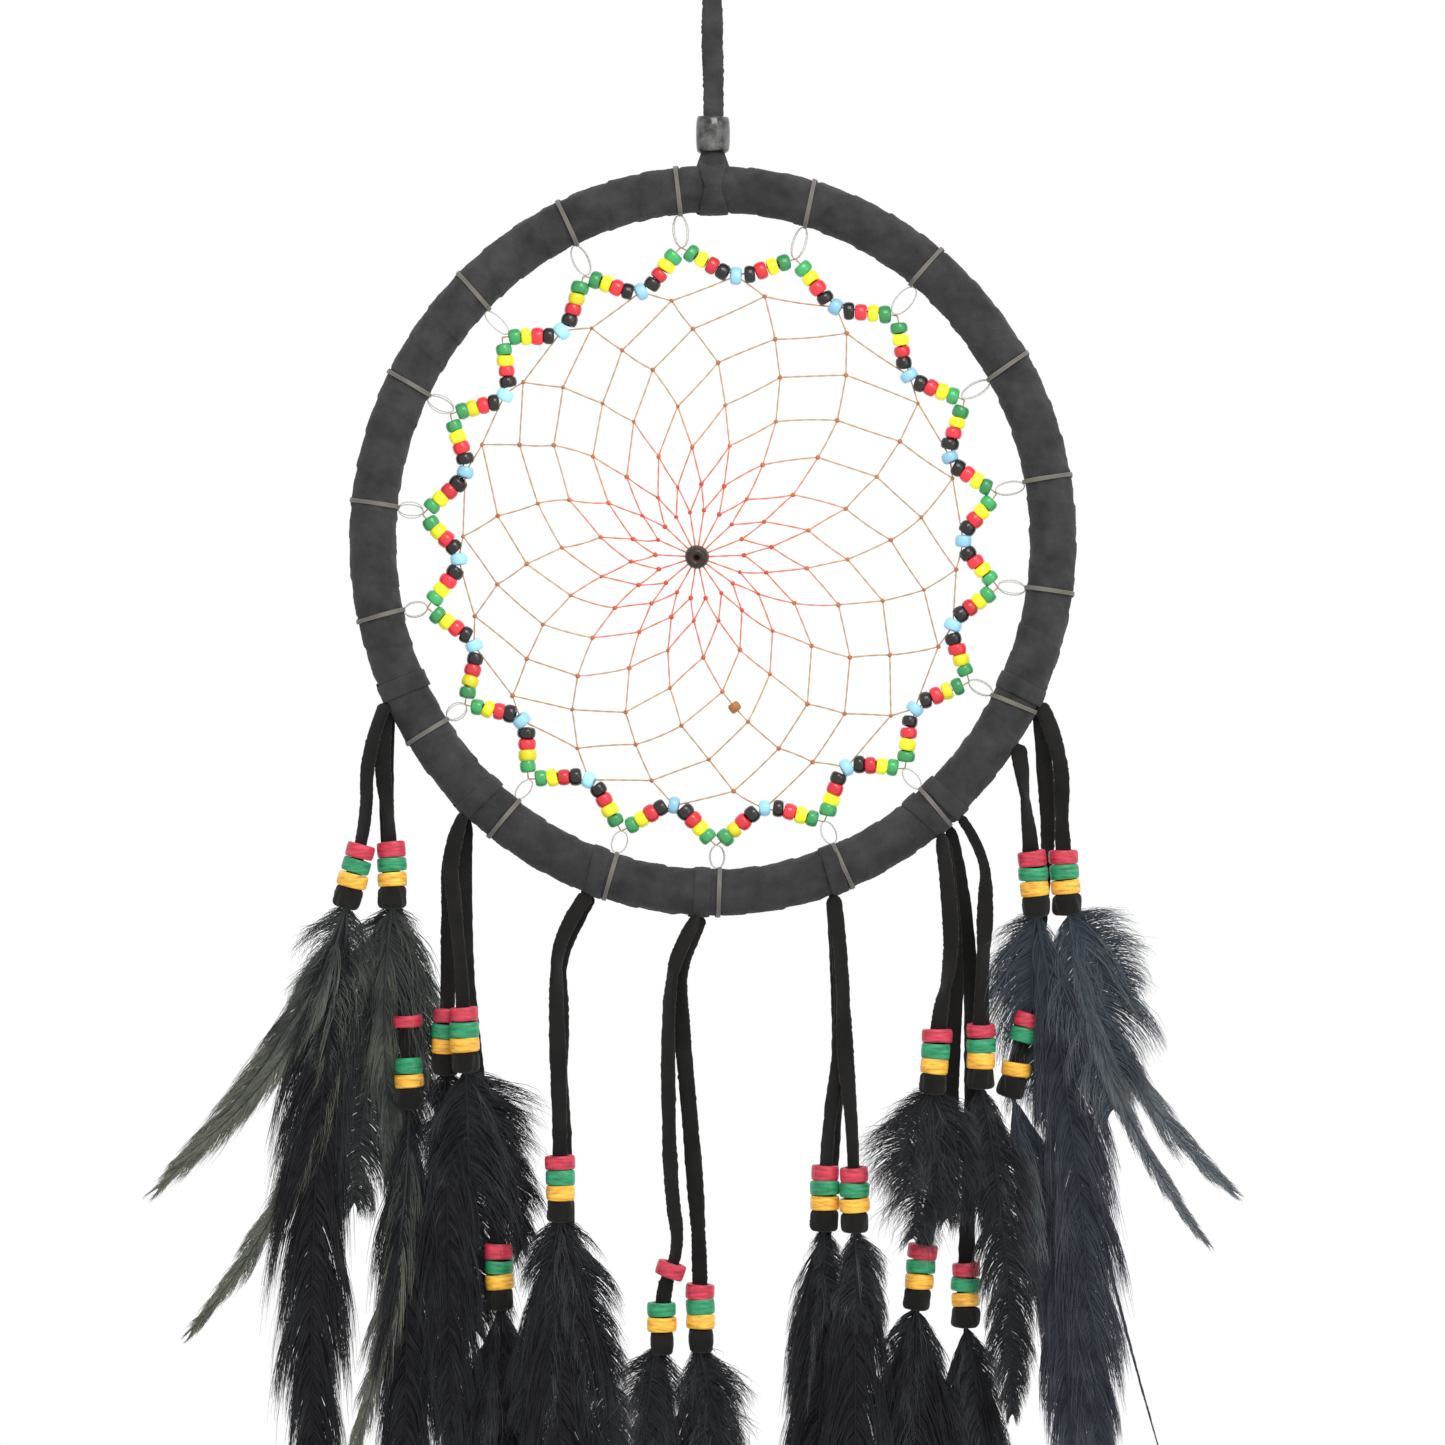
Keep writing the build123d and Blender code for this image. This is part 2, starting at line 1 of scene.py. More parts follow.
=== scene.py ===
import math
import zlib

import bpy
import numpy as np
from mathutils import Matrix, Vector


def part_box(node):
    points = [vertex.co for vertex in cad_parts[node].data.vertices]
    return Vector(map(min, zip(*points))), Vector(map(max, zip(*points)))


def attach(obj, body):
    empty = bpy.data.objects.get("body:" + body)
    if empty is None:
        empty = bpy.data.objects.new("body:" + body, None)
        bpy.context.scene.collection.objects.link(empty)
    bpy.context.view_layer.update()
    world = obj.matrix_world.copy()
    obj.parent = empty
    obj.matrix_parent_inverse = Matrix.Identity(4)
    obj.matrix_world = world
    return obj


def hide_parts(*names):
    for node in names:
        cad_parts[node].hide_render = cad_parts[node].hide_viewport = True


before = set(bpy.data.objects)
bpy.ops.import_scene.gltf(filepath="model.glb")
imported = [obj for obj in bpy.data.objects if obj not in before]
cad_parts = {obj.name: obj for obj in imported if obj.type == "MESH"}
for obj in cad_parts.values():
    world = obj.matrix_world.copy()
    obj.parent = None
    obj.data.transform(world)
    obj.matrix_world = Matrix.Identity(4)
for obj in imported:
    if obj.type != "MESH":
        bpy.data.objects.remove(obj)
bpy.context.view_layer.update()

# Every length is in metres, in the CAD's frame: +X right, +Y to the back, +Z up.
FRONT, MIDDLE, BEHIND, BACK = -0.0039, -0.0015, 0.0034, 0.0058
Y_AXIS = np.array((0.0, 1.0, 0.0))

# Camera: level, square on, far enough back that the hoop looks round.
CAMERA_DISTANCE = 1.6
PICTURE_WIDTH = 0.36125
PICTURE_CENTRE = (0.0024, -0.2154)
SENSOR_WIDTH = 36.0
FLOOR_Z = -0.62
FLOOR_SIZE = 3.0

# Hoop, wound with a suede strip.
STRIP_PITCH = 0.0085
STRIP_STEP = 0.00032
BINDING_ANGLES = (96, 116, 136, 154, 174, 192, 212, 231, 252, 271, 293, 312, 333, 352, 10, 29, 50, 73)
HITCH_ANGLES = (203.6, 225.1, 249.5, 267.9, 291.1, 309.9, 314.1, 335.5)
WRAP_ROWS, WRAP_COLUMNS = 1500, 48
SEAM_ROWS = 30
LAP_SHARE = 0.9
FOLD_DEPTH = 0.00012
NAP_DEPTH = 0.00003
BINDING_THREAD_RADIUS = 0.00024
LOOP_THREAD_RADIUS = 0.00016
LOOP_HALF_WIDTHS = (0.0013, 0.0021)
LOOP_LAP_DEPTH = 0.0003
HITCH_WIDTH = 0.0030
HITCH_THICKNESS = 0.0006
HITCH_SPREAD = 0.0024
OUTER_TURN_CENTRE = (-0.0005, -0.1712)
OUTER_TURN_HALF_SIZES = (0.0725, 0.075)

# Web: how far each row of knots is from the hub, and how far it turns.
WEB_ROW_RADII = (0.0620, 0.0538, 0.0455, 0.0360, 0.0263, 0.0175, 0.0110)
WEB_FIRST_RADIUS = 0.0655
WEB_TURN_PER_ROW = 6.0
WEB_THREAD_RADIUS = 0.00021
KNOT_RADIUS = 0.00052
KNOT_HOLE = 0.00005
KNOT_WANDER = 0.0007
HUB_RADIUS, HUB_LENGTH, HUB_HOLE = 0.003, 0.0054, 0.00015
SMALL_BEAD_RADIUS, SMALL_BEAD_LENGTH, SMALL_BEAD_HOLE = 0.0015, 0.0024, 0.0004

# Seed beads and wooden beads.
SEED_RADIUS, SEED_LENGTH, SEED_HOLE = 0.00218, 0.00295, 0.0005
WOOD_RADIUS, WOOD_LENGTH, WOOD_HOLE = 0.0037, 0.0039, 0.0022
LOOSE_BEAD_LENGTH = 0.0031

# Laces, and the suede bindings that grip the quills.
LACE_WIDTH = 0.004
LACE_THICKNESS = 0.0015
LACE_TWIST = 1.15
ROOT_DEPTH = 0.0056
SAME_DEPTH = 0.0003
QUILL_START = 0.00104
BINDING_RADIUS = 0.0033
BINDING_HALF_LENGTH = 0.0029

# Hanger: its lace, the knot on the hoop, and the knot and loop at the top.
HANGER_WIDTH = 0.0052
HANGER_TWIST = 0.25
HANGER_INTO_KNOT = 0.003
BARREL_HOLE = 0.0029
STRAP_WIDTH, STRAP_THICKNESS, STRAP_SPREAD = 0.0040, 0.0008, 0.0012
STRAP_SLANTS = (0.0016, -0.0016, 0.0)
NECK_RADIUS, NECK_TOP_RADIUS = 0.0042, 0.0026
TIE_WIDTH, TIE_THICKNESS = 0.0030, 0.0022
LOOP_WIDTH = 0.0026

# Each strand: its depth, the route of its lace as (x, z), and its feathers. Each feather:
# its tip (x, z), its width, how far it bows to the right, and its kind.
STRANDS = {
    1: [
        (FRONT, [(-0.0852, -0.2120), (-0.0866, -0.2230), (-0.0861, -0.2408), (-0.0908, -0.2580)], [
            ((-0.0978, -0.4248), 0.015, -0.005, "column"),
            ((-0.1382, -0.3315), 0.0065, 0.005, "hackle"),
            ((-0.1338, -0.3248), 0.0045, 0.008, "hackle"),
            ((-0.1300, -0.3670), 0.0060, 0.011, "hackle"),
            ((-0.0965, -0.3000), 0.013, -0.001, "down"),
        ]),
        (MIDDLE, [(-0.0844, -0.2122), (-0.0833, -0.2234), (-0.0805, -0.2410), (-0.0800, -0.2580)], [
            ((-0.0900, -0.3360), 0.021, -0.001, "vane"),
            ((-0.0770, -0.3250), 0.017, 0.001, "vane"),
            ((-0.0830, -0.2920), 0.018, 0.000, "down"),
            ((-0.0710, -0.3580), 0.006, -0.006, "hackle"),
        ]),
        (BEHIND, [(-0.0848, -0.2124), (-0.0826, -0.2464), (-0.0766, -0.2800), (-0.0760, -0.3085)], [
            ((-0.0775, -0.4248), 0.013, 0.000, "column"),
            ((-0.0895, -0.3970), 0.007, 0.003, "hackle"),
        ]),
    ],
    2: [
        (FRONT, [(-0.0644, -0.2404), (-0.0660, -0.2476), (-0.0644, -0.2606), (-0.0624, -0.2810),
                 (-0.0617, -0.2990)], [
            ((-0.0600, -0.3680), 0.022, 0.000, "vane"),
            ((-0.0480, -0.3480), 0.012, 0.002, "vane"),
            ((-0.0580, -0.3320), 0.020, 0.001, "down"),
        ]),
        (BEHIND, [(-0.0652, -0.2408), (-0.0669, -0.2482), (-0.0659, -0.2616), (-0.0663, -0.2818),
                  (-0.0670, -0.2998)], [
            ((-0.0656, -0.3960), 0.012, 0.000, "column"),
            ((-0.0660, -0.3300), 0.012, 0.000, "down"),
        ]),
        (BACK, [(-0.0640, -0.2406), (-0.0630, -0.2660), (-0.0592, -0.3050), (-0.0542, -0.3372),
                (-0.0535, -0.3590)], [
            ((-0.0534, -0.4450), 0.018, 0.000, "column"),
            ((-0.0620, -0.4330), 0.010, -0.002, "hackle"),
            ((-0.0460, -0.4200), 0.010, 0.001, "vane"),
        ]),
    ],
    3: [
        (FRONT, [(-0.0320, -0.2608), (-0.0388, -0.2682), (-0.0392, -0.2846), (-0.0382, -0.3104),
                 (-0.0380, -0.3360)], [
            ((-0.0382, -0.4300), 0.018, 0.000, "column"),
            ((-0.0235, -0.4080), 0.011, 0.002, "vane"),
            ((-0.0460, -0.4020), 0.010, -0.001, "vane"),
            ((-0.0370, -0.3640), 0.015, 0.000, "down"),
        ]),
        (BEHIND, [(-0.0316, -0.2612), (-0.0376, -0.2690), (-0.0383, -0.2868), (-0.0374, -0.3204),
                  (-0.0358, -0.3600), (-0.0355, -0.3882)], [
            ((-0.0345, -0.4900), 0.016, 0.000, "column"),
            ((-0.0275, -0.4760), 0.010, 0.001, "hackle"),
        ]),
    ],
    4: [
        (FRONT, [(-0.0038, -0.2668), (-0.0090, -0.2722), (-0.0111, -0.2846), (-0.0112, -0.3092),
                 (-0.0104, -0.3330), (-0.0082, -0.3466), (-0.0129, -0.3572), (-0.0127, -0.3688)], [
            ((-0.0135, -0.4900), 0.014, 0.000, "column"),
            ((-0.0190, -0.4360), 0.010, 0.000, "vane"),
            ((-0.0165, -0.3960), 0.012, -0.001, "down"),
        ]),
        (MIDDLE, [(-0.0030, -0.2669), (-0.0076, -0.2726), (-0.0083, -0.2866), (-0.0060, -0.3110),
                  (-0.0036, -0.3410), (-0.0032, -0.3560), (-0.0030, -0.3683)], [
            ((-0.0010, -0.4980), 0.018, 0.000, "column"),
            ((0.0080, -0.4420), 0.010, 0.002, "vane"),
            ((0.0000, -0.4020), 0.014, 0.001, "down"),
        ]),
    ],
    5: [
        (FRONT, [(0.0314, -0.2612), (0.0323, -0.2750), (0.0327, -0.2965), (0.0351, -0.3190),
                 (0.0354, -0.3390)], [
            ((0.0356, -0.4280), 0.013, 0.000, "column"),
            ((0.0404, -0.3640), 0.006, 0.001, "hackle"),
            ((0.0362, -0.3660), 0.010, 0.000, "down"),
        ]),
        (MIDDLE, [(0.0306, -0.2610), (0.0321, -0.2746), (0.0322, -0.2960), (0.0282, -0.3192),
                  (0.0279, -0.3387)], [
            ((0.0255, -0.4300), 0.013, 0.000, "column"),
            ((0.0220, -0.3860), 0.006, -0.001, "hackle"),
            ((0.0275, -0.3640), 0.009, 0.000, "down"),
        ]),
        (BEHIND, [(0.0312, -0.2616), (0.0319, -0.2840), (0.0304, -0.3240), (0.0258, -0.3620),
                  (0.0250, -0.3975)], [
            ((0.0250, -0.4950), 0.014, 0.000, "column"),
            ((0.0320, -0.4780), 0.010, 0.001, "hackle"),
        ]),
    ],
    6: [
        (FRONT, [(0.0602, -0.2464), (0.0591, -0.2600), (0.0596, -0.2744), (0.0562, -0.2893),
                 (0.0550, -0.3044)], [
            ((0.0500, -0.3440), 0.019, 0.000, "down"),
            ((0.0585, -0.3390), 0.013, 0.002, "vane"),
            ((0.0480, -0.3320), 0.013, -0.003, "down"),
            ((0.0590, -0.3300), 0.014, 0.003, "down"),
        ]),
        (MIDDLE, [(0.0638, -0.2409), (0.0680, -0.2476), (0.0682, -0.2610), (0.0670, -0.2836),
                  (0.0669, -0.3032)], [
            ((0.0690, -0.3420), 0.009, 0.000, "vane"),
            ((0.0748, -0.3880), 0.012, 0.002, "vane"),
        ]),
        (BEHIND, [(0.0608, -0.2468), (0.0613, -0.2670), (0.0602, -0.2990), (0.0588, -0.3230),
                  (0.0532, -0.3420), (0.0513, -0.3587)], [
            ((0.0490, -0.4550), 0.018, 0.000, "column"),
            ((0.0565, -0.4400), 0.012, 0.001, "vane"),
            ((0.0440, -0.4100), 0.010, -0.001, "vane"),
        ]),
        (BACK, [(0.0624, -0.2444), (0.0644, -0.2680), (0.0650, -0.3040), (0.0639, -0.3365),
                (0.0633, -0.3635)], [
            ((0.0640, -0.4500), 0.016, 0.000, "column"),
            ((0.0710, -0.4250), 0.010, 0.001, "vane"),
        ]),
    ],
    7: [
        (FRONT, [(0.0784, -0.2220), (0.0790, -0.2411), (0.0805, -0.2602)], [
            ((0.0840, -0.3130), 0.019, -0.002, "vane"),
            ((0.0968, -0.4050), 0.013, 0.003, "column"),
            ((0.0800, -0.2880), 0.015, -0.002, "down"),
            ((0.1118, -0.3975), 0.001, -0.002, "quill"),
        ]),
        (MIDDLE, [(0.0853, -0.2120), (0.0874, -0.2224), (0.0869, -0.2412), (0.0884, -0.2598)], [
            ((0.1298, -0.3323), 0.0055, -0.007, "hackle"),
            ((0.1035, -0.2830), 0.012, 0.002, "down"),
            ((0.1230, -0.3450), 0.004, -0.006, "hackle"),
            ((0.1000, -0.3120), 0.019, 0.001, "vane"),
        ]),
        (BEHIND, [(0.0844, -0.2124), (0.0846, -0.2370), (0.0828, -0.2615), (0.0802, -0.2841),
                  (0.0752, -0.3055)], [
            ((0.0898, -0.4100), 0.011, 0.004, "column"),
            ((0.0805, -0.3570), 0.006, 0.001, "hackle"),
        ]),
    ],
}

# Each kind of feather: the angle between barb and shaft at the widest place, how loosely the
# barbs lie, how many layers they lie in, the share of the shaft that is bare at the top, and
# how much paler the feather gets towards its tip.
FEATHER_KINDS = {
    "hackle": (14, 0.45, 2, 0.12, 1.1),
    "vane": (33, 0.45, 4, 0.03, 0.1),
    "column": (17, 0.30, 4, 0.03, 0.1),
    "down": (46, 1.00, 4, 0.02, 0.1),
    "quill": (15, 0.10, 1, 0.60, 0.1),
}
SHAFT_RADIUS = 0.00045
BARB_SPACING = 0.00028
BARB_WIDTH = 0.00034
BARB_LIFT = 0.006
BARB_TILT = 0.55
BARB_POINTS = 6
LAYER_STEP = 0.0003
TUFT_LENGTH = 0.0034

# Strands, as (group, order), whose feathers bend back behind other beads, and how far.
SWEPT_BACK = {(1, 2): 0.009, (2, 1): 0.0125, (7, 1): 0.008}


def named_random(name):
    """Random numbers that are the same each run for a piece of this name."""
    return np.random.default_rng(zlib.crc32(name.encode()))


def unit(vectors):
    """The same vectors, one unit long."""
    return vectors / np.maximum(np.linalg.norm(vectors, axis=-1, keepdims=True), 1e-12)


def wander(rng, count, swing, knots):
    """A smooth random curve of count values about zero, with this many random points."""
    places = np.linspace(0, 1, knots)
    return np.interp(np.linspace(0, 1, count), places, rng.uniform(-swing, swing, knots))


# Materials.
def start_material(name, **sockets):
    """A material with these values on its shader, and a helper that adds linked nodes."""
    material = bpy.data.materials.new(name)
    material.use_nodes = True
    nodes, links = material.node_tree.nodes, material.node_tree.links
    shader = nodes["Principled BSDF"]
    for socket, value in sockets.items():
        shader.inputs[socket.replace("_", " ")].default_value = value
    place = nodes.new("ShaderNodeTexCoord").outputs["Object"]

    def add_node(kind, inputs=None, **settings):
        node = nodes.new(kind)
        for key, value in settings.items():
            setattr(node, key, value)
        for key, value in (inputs or {}).items():
            if isinstance(value, bpy.types.NodeSocket):
                links.new(value, node.inputs[key])
            else:
                node.inputs[key].default_value = value
        return node

    def link(output, socket):
        links.new(output, shader.inputs[socket])

    return material, add_node, link, place


def speckle(add_node, place, scale, detail=4.0):
    """A noise value at this many features a metre."""
    inputs = {"Vector": place, "Scale": scale, "Detail": detail, "Roughness": 0.6}
    return add_node("ShaderNodeTexNoise", inputs).outputs["Fac"]


def ramp(add_node, value, stops):
    """Colours or greys spread over a value from 0 to 1."""
    node = add_node("ShaderNodeValToRGB", {"Fac": value})
    ends = node.color_ramp.elements
    while len(ends) < len(stops):
        ends.new(0.5)
    for end, (position, colour) in zip(ends, stops):
        end.position = position
        end.color = (*colour, 1.0)
    return node.outputs["Color"]


def shaded(colour, factor):
    """A colour made lighter or darker."""
    return tuple(min(1.0, part * factor) for part in colour)


def suede(name, colour):
    """Matt black suede: a fine uneven nap, brushed lighter in patches."""
    material, add_node, link, place = start_material(
        name, Roughness=0.92, Sheen_Weight=0.08, Sheen_Roughness=0.5, Specular_IOR_Level=0.22
    )
    patches = speckle(add_node, place, 140)
    stops = [(0.3, shaded(colour, 0.65)), (0.7, shaded(colour, 1.5))]
    link(ramp(add_node, patches, stops), "Base Color")
    nap = speckle(add_node, place, 1900, 6.0)
    bump = add_node("ShaderNodeBump", {"Height": nap, "Strength": 0.75, "Distance": 0.0003})
    link(bump.outputs["Normal"], "Normal")
    return material


def spun_thread(name, colour, other_colour=None):
    """Waxed thread with fine fibres, whose tone runs unevenly from one colour to the other."""
    material, add_node, link, place = start_material(name, Roughness=0.6, Sheen_Weight=0.1)
    tone = add_node("ShaderNodeAttribute", attribute_name="tone").outputs["Fac"]
    uneven = add_node("ShaderNodeMath", {0: speckle(add_node, place, 260), 1: 0.4}, operation="MULTIPLY")
    mixed = add_node("ShaderNodeMath", {0: tone, 1: uneven.outputs["Value"]}, operation="ADD")
    stops = [(0.1, shaded(colour, 0.75)), (0.4, colour), (0.9, other_colour or shaded(colour, 1.3))]
    link(ramp(add_node, mixed.outputs["Value"], stops), "Base Color")
    fibre = speckle(add_node, place, 3500)
    bump = add_node("ShaderNodeBump", {"Height": fibre, "Strength": 0.4, "Distance": 0.0001})
    link(bump.outputs["Normal"], "Normal")
    return material


def bead_glass(name, colour):
    """Opaque pressed glass, glossy, each bead a little lighter or darker."""
    material, add_node, link, place = start_material(
        name, Roughness=0.2, Coat_Weight=0.25, Coat_Roughness=0.05, Specular_IOR_Level=0.35
    )
    tone = add_node("ShaderNodeAttribute", attribute_name="tone").outputs["Fac"]
    link(ramp(add_node, tone, [(0.0, shaded(colour, 0.7)), (1.0, shaded(colour, 1.25))]), "Base Color")
    ripple = speckle(add_node, place, 900, 2.0)
    bump = add_node("ShaderNodeBump", {"Height": ripple, "Strength": 0.15, "Distance": 0.0001})
    link(bump.outputs["Normal"], "Normal")
    return material


def stained_wood(name, colour):
    """Stained and varnished wood: streaks that run round the bead, and worn pores."""
    material, add_node, link, place = start_material(
        name, Roughness=0.42, Coat_Weight=0.15, Coat_Roughness=0.2, Specular_IOR_Level=0.3
    )
    stretch = add_node("ShaderNodeMapping", {"Vector": place, "Scale": (0.35, 0.35, 2.2)})
    streaks = speckle(add_node, stretch.outputs["Vector"], 700, 5.0)
    stops = [(0.28, shaded(colour, 0.45)), (0.5, colour), (0.74, shaded(colour, 1.55))]
    link(ramp(add_node, streaks, stops), "Base Color")
    bump = add_node("ShaderNodeBump", {"Height": streaks, "Strength": 0.35, "Distance": 0.00025})
    link(bump.outputs["Normal"], "Normal")
    return material


def feather_finish(name, colour, tip_colour):
    """Barbs that are dark at the shaft and paler and drier towards their ends."""
    material, add_node, link, place = start_material(
        name, Roughness=0.5, Sheen_Weight=0.08, Sheen_Roughness=0.35, Specular_IOR_Level=0.2
    )
    tone = add_node("ShaderNodeAttribute", attribute_name="tone").outputs["Fac"]
    patches = speckle(add_node, place, 85, 3.0)
    mixed = add_node("ShaderNodeMath", {0: tone, 1: patches}, operation="MULTIPLY")
    stops = [(0.04, shaded(colour, 0.5)), (0.24, colour), (0.6, tip_colour)]
    link(ramp(add_node, mixed.outputs["Value"], stops), "Base Color")
    grain = speckle(add_node, place, 3000)
    bump = add_node("ShaderNodeBump", {"Height": grain, "Strength": 0.3, "Distance": 0.0001})
    link(bump.outputs["Normal"], "Normal")
    return material


def smoky_barrel(name):
    """Dark translucent glass, polished, with cloudy patches inside."""
    material, add_node, link, place = start_material(
        name, Roughness=0.12, Coat_Weight=0.2, Specular_IOR_Level=0.4
    )
    cloud = speckle(add_node, place, 330)
    stops = [(0.34, (0.008, 0.008, 0.007)), (0.68, (0.125, 0.130, 0.112))]
    link(ramp(add_node, cloud, stops), "Base Color")
    bump = add_node("ShaderNodeBump", {"Height": cloud, "Strength": 0.15, "Distance": 0.0003})
    link(bump.outputs["Normal"], "Normal")
    return material


black_suede = suede("black suede", (0.029, 0.029, 0.030))
lace_suede = suede("lace suede", (0.0060, 0.0055, 0.0050))
dark_core = suede("rod under the suede", (0.30, 0.22, 0.13))
binding_finish = spun_thread("binding thread", (0.17, 0.155, 0.13))
loop_finish = spun_thread("pale loop thread", (0.58, 0.57, 0.53))
web_finish = spun_thread("web thread", (0.52, 0.30, 0.14), (0.62, 0.14, 0.05))
knot_finish = spun_thread("web knots", (0.50, 0.15, 0.05), (0.55, 0.06, 0.025))
brown_finish = stained_wood("brown bead", (0.030, 0.016, 0.010))
amber_finish = stained_wood("amber bead", (0.36, 0.13, 0.03))
smoky_finish = smoky_barrel("smoky barrel bead")
glass_finishes = {
    "green": bead_glass("green glass", (0.045, 0.32, 0.10)),
    "yellow": bead_glass("yellow glass", (0.90, 0.80, 0.02)),
    "red": bead_glass("red glass", (0.72, 0.03, 0.045)),
    "black": bead_glass("black glass", (0.012, 0.011, 0.010)),
    "blue": bead_glass("blue glass", (0.32, 0.64, 0.88)),
}
wood_finishes = {
    "red": stained_wood("red wood", (0.50, 0.035, 0.065)),
    "green": stained_wood("green wood", (0.022, 0.25, 0.11)),
    "yellow": stained_wood("yellow wood", (0.86, 0.43, 0.05)),
}
left_feathers = feather_finish("feathers, left", (0.033, 0.041, 0.040), (0.135, 0.140, 0.110))
middle_feathers = feather_finish("feathers, middle", (0.0110, 0.0120, 0.0155), (0.062, 0.064, 0.066))
right_feathers = feather_finish("feathers, right", (0.040, 0.052, 0.068), (0.130, 0.145, 0.155))
dark_feathers = feather_finish("feathers, long and dark", (0.0062, 0.0066, 0.0084), (0.030, 0.032, 0.035))
blue_feathers = feather_finish("feathers, long and blue", (0.0230, 0.0290, 0.0410), (0.080, 0.090, 0.105))
GROUP_FEATHERS = {1: left_feathers, 2: middle_feathers, 3: middle_feathers, 4: middle_feathers,
                  5: middle_feathers, 6: middle_feathers, 7: right_feathers}
LONG_FEATHERS = {**dict.fromkeys(range(1, 7), dark_feathers), 7: blue_feathers}


# Mesh building.
def make_piece(name, vertices, quads, material, body, node, slot, tone=None):
    """A smooth mesh piece that rides on a body and stands for a CAD node."""
    mesh = bpy.data.meshes.new(name)
    mesh.vertices.add(len(vertices))
    mesh.vertices.foreach_set("co", np.asarray(vertices, np.float32).ravel())
    mesh.loops.add(quads.size)
    mesh.loops.foreach_set("vertex_index", quads.astype(np.int32).ravel())
    mesh.polygons.add(len(quads))
    mesh.polygons.foreach_set("loop_start", np.arange(0, quads.size, 4, dtype=np.int32))
    mesh.polygons.foreach_set("use_smooth", np.ones(len(quads), bool))
    mesh.update(calc_edges=True)
    if tone is not None:
        attribute = mesh.attributes.new("tone", "FLOAT", "POINT")
        attribute.data.foreach_set("value", np.asarray(tone, np.float32))
    mesh.materials.append(material)
    piece = bpy.data.objects.new(name, mesh)
    bpy.context.scene.collection.objects.link(piece)
    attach(piece, body)
    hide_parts(node)
    return piece


def grid_quads(rows, columns, closed_rows=False, closed_columns=True):
    """Faces of a grid of vertices, joined end to end where it is closed."""
    row = np.arange(rows if closed_rows else rows - 1)[:, None]
    column = np.arange(columns if closed_columns else columns - 1)[None, :]
    next_row = (row + 1) % rows
    next_column = (column + 1) % columns
    corners = [row * columns + column, row * columns + next_column,
               next_row * columns + next_column, next_row * columns + column]
    return np.stack([np.broadcast_to(c, (row.size, column.size)) for c in corners], -1).reshape(-1, 4)


def join_parts(parts):
    """Several (vertices, quads, tone) as one."""
    vertices, quads, tones, start = [], [], [], 0
    for part_vertices, part_quads, part_tone in parts:
        vertices.append(part_vertices)
        quads.append(part_quads + start)
        tones.append(np.broadcast_to(part_tone, len(part_vertices)))
        start += len(part_vertices)
    return np.concatenate(vertices), np.concatenate(quads), np.concatenate(tones)


def sweep(path, normals, sections, closed=False, tone=0.5):
    """Carries cross-sections (n, m, 2), to the side and along the normal, along a path."""
    if closed:
        tangents = unit(np.roll(path, -1, axis=0) - np.roll(path, 1, axis=0))
    else:
        tangents = unit(np.gradient(path, axis=0))
    sides = unit(np.cross(tangents, normals))
    ups = np.cross(sides, tangents)
    rings = path[:, None] + sections[..., :1] * sides[:, None] + sections[..., 1:] * ups[:, None]
    quads = grid_quads(len(path), sections.shape[1], closed_rows=closed)
    return rings.reshape(-1, 3), quads, tone


def close_ends(sections):
    """Shrinks the first and last cross-sections so that a swept piece ends rounded."""
    shaped = sections.copy()
    for place, share in ((0, 0.04), (1, 0.75), (-2, 0.75), (-1, 0.04)):
        shaped[place] *= share
    return shaped


def twisted_section(count, radius, turns, sides=8):
    """Cross-sections of a two-ply thread that turns as it goes."""
    angles = np.linspace(0, 2 * math.pi, sides, endpoint=False)
    spin = np.linspace(0, 2 * math.pi * turns, count)[:, None]
    reach = radius * (0.84 + 0.16 * np.cos(2 * (angles[None] + spin)))
    return np.stack([reach * np.cos(angles), reach * np.sin(angles)], -1)


def ribbon_section(count, width, thickness, rng, twist, sides=16):
    """Cross-sections of a soft flat strip with rounded edges that twists as it goes."""
    angles = np.linspace(0, 2 * math.pi, sides, endpoint=False)
    flat = np.sign(np.cos(angles)) * np.abs(np.cos(angles)) ** 0.6
    thick = np.sign(np.sin(angles)) * np.abs(np.sin(angles)) ** 0.6
    widths = width * (1 + wander(rng, count, 0.10, max(3, count // 9)))[:, None]
    rough = 1 + 0.035 * rng.standard_normal((count, sides))
    across = flat[None] * widths / 2 * rough
    deep = thick[None] * thickness / 2 * rough
    turn = twist[:, None]
    turned_across = across * np.cos(turn) - deep * np.sin(turn)
    turned_deep = across * np.sin(turn) + deep * np.cos(turn)
    return np.stack([turned_across, turned_deep], -1)


def thread_between(start, end, radius, sag=0.0, tone=0.5):
    """A twisted thread from one point to another, with a slight sag."""
    length = np.linalg.norm(end - start)
    count = max(5, int(length / 0.0006))
    share = np.linspace(0, 1, count)[:, None]
    path = start + (end - start) * share
    path = path + np.array((0, 0, -1)) * (sag * 4 * share * (1 - share))
    normals = np.broadcast_to(Y_AXIS, path.shape)
    return sweep(path, normals, twisted_section(count, radius, length / 0.0016), tone=tone)


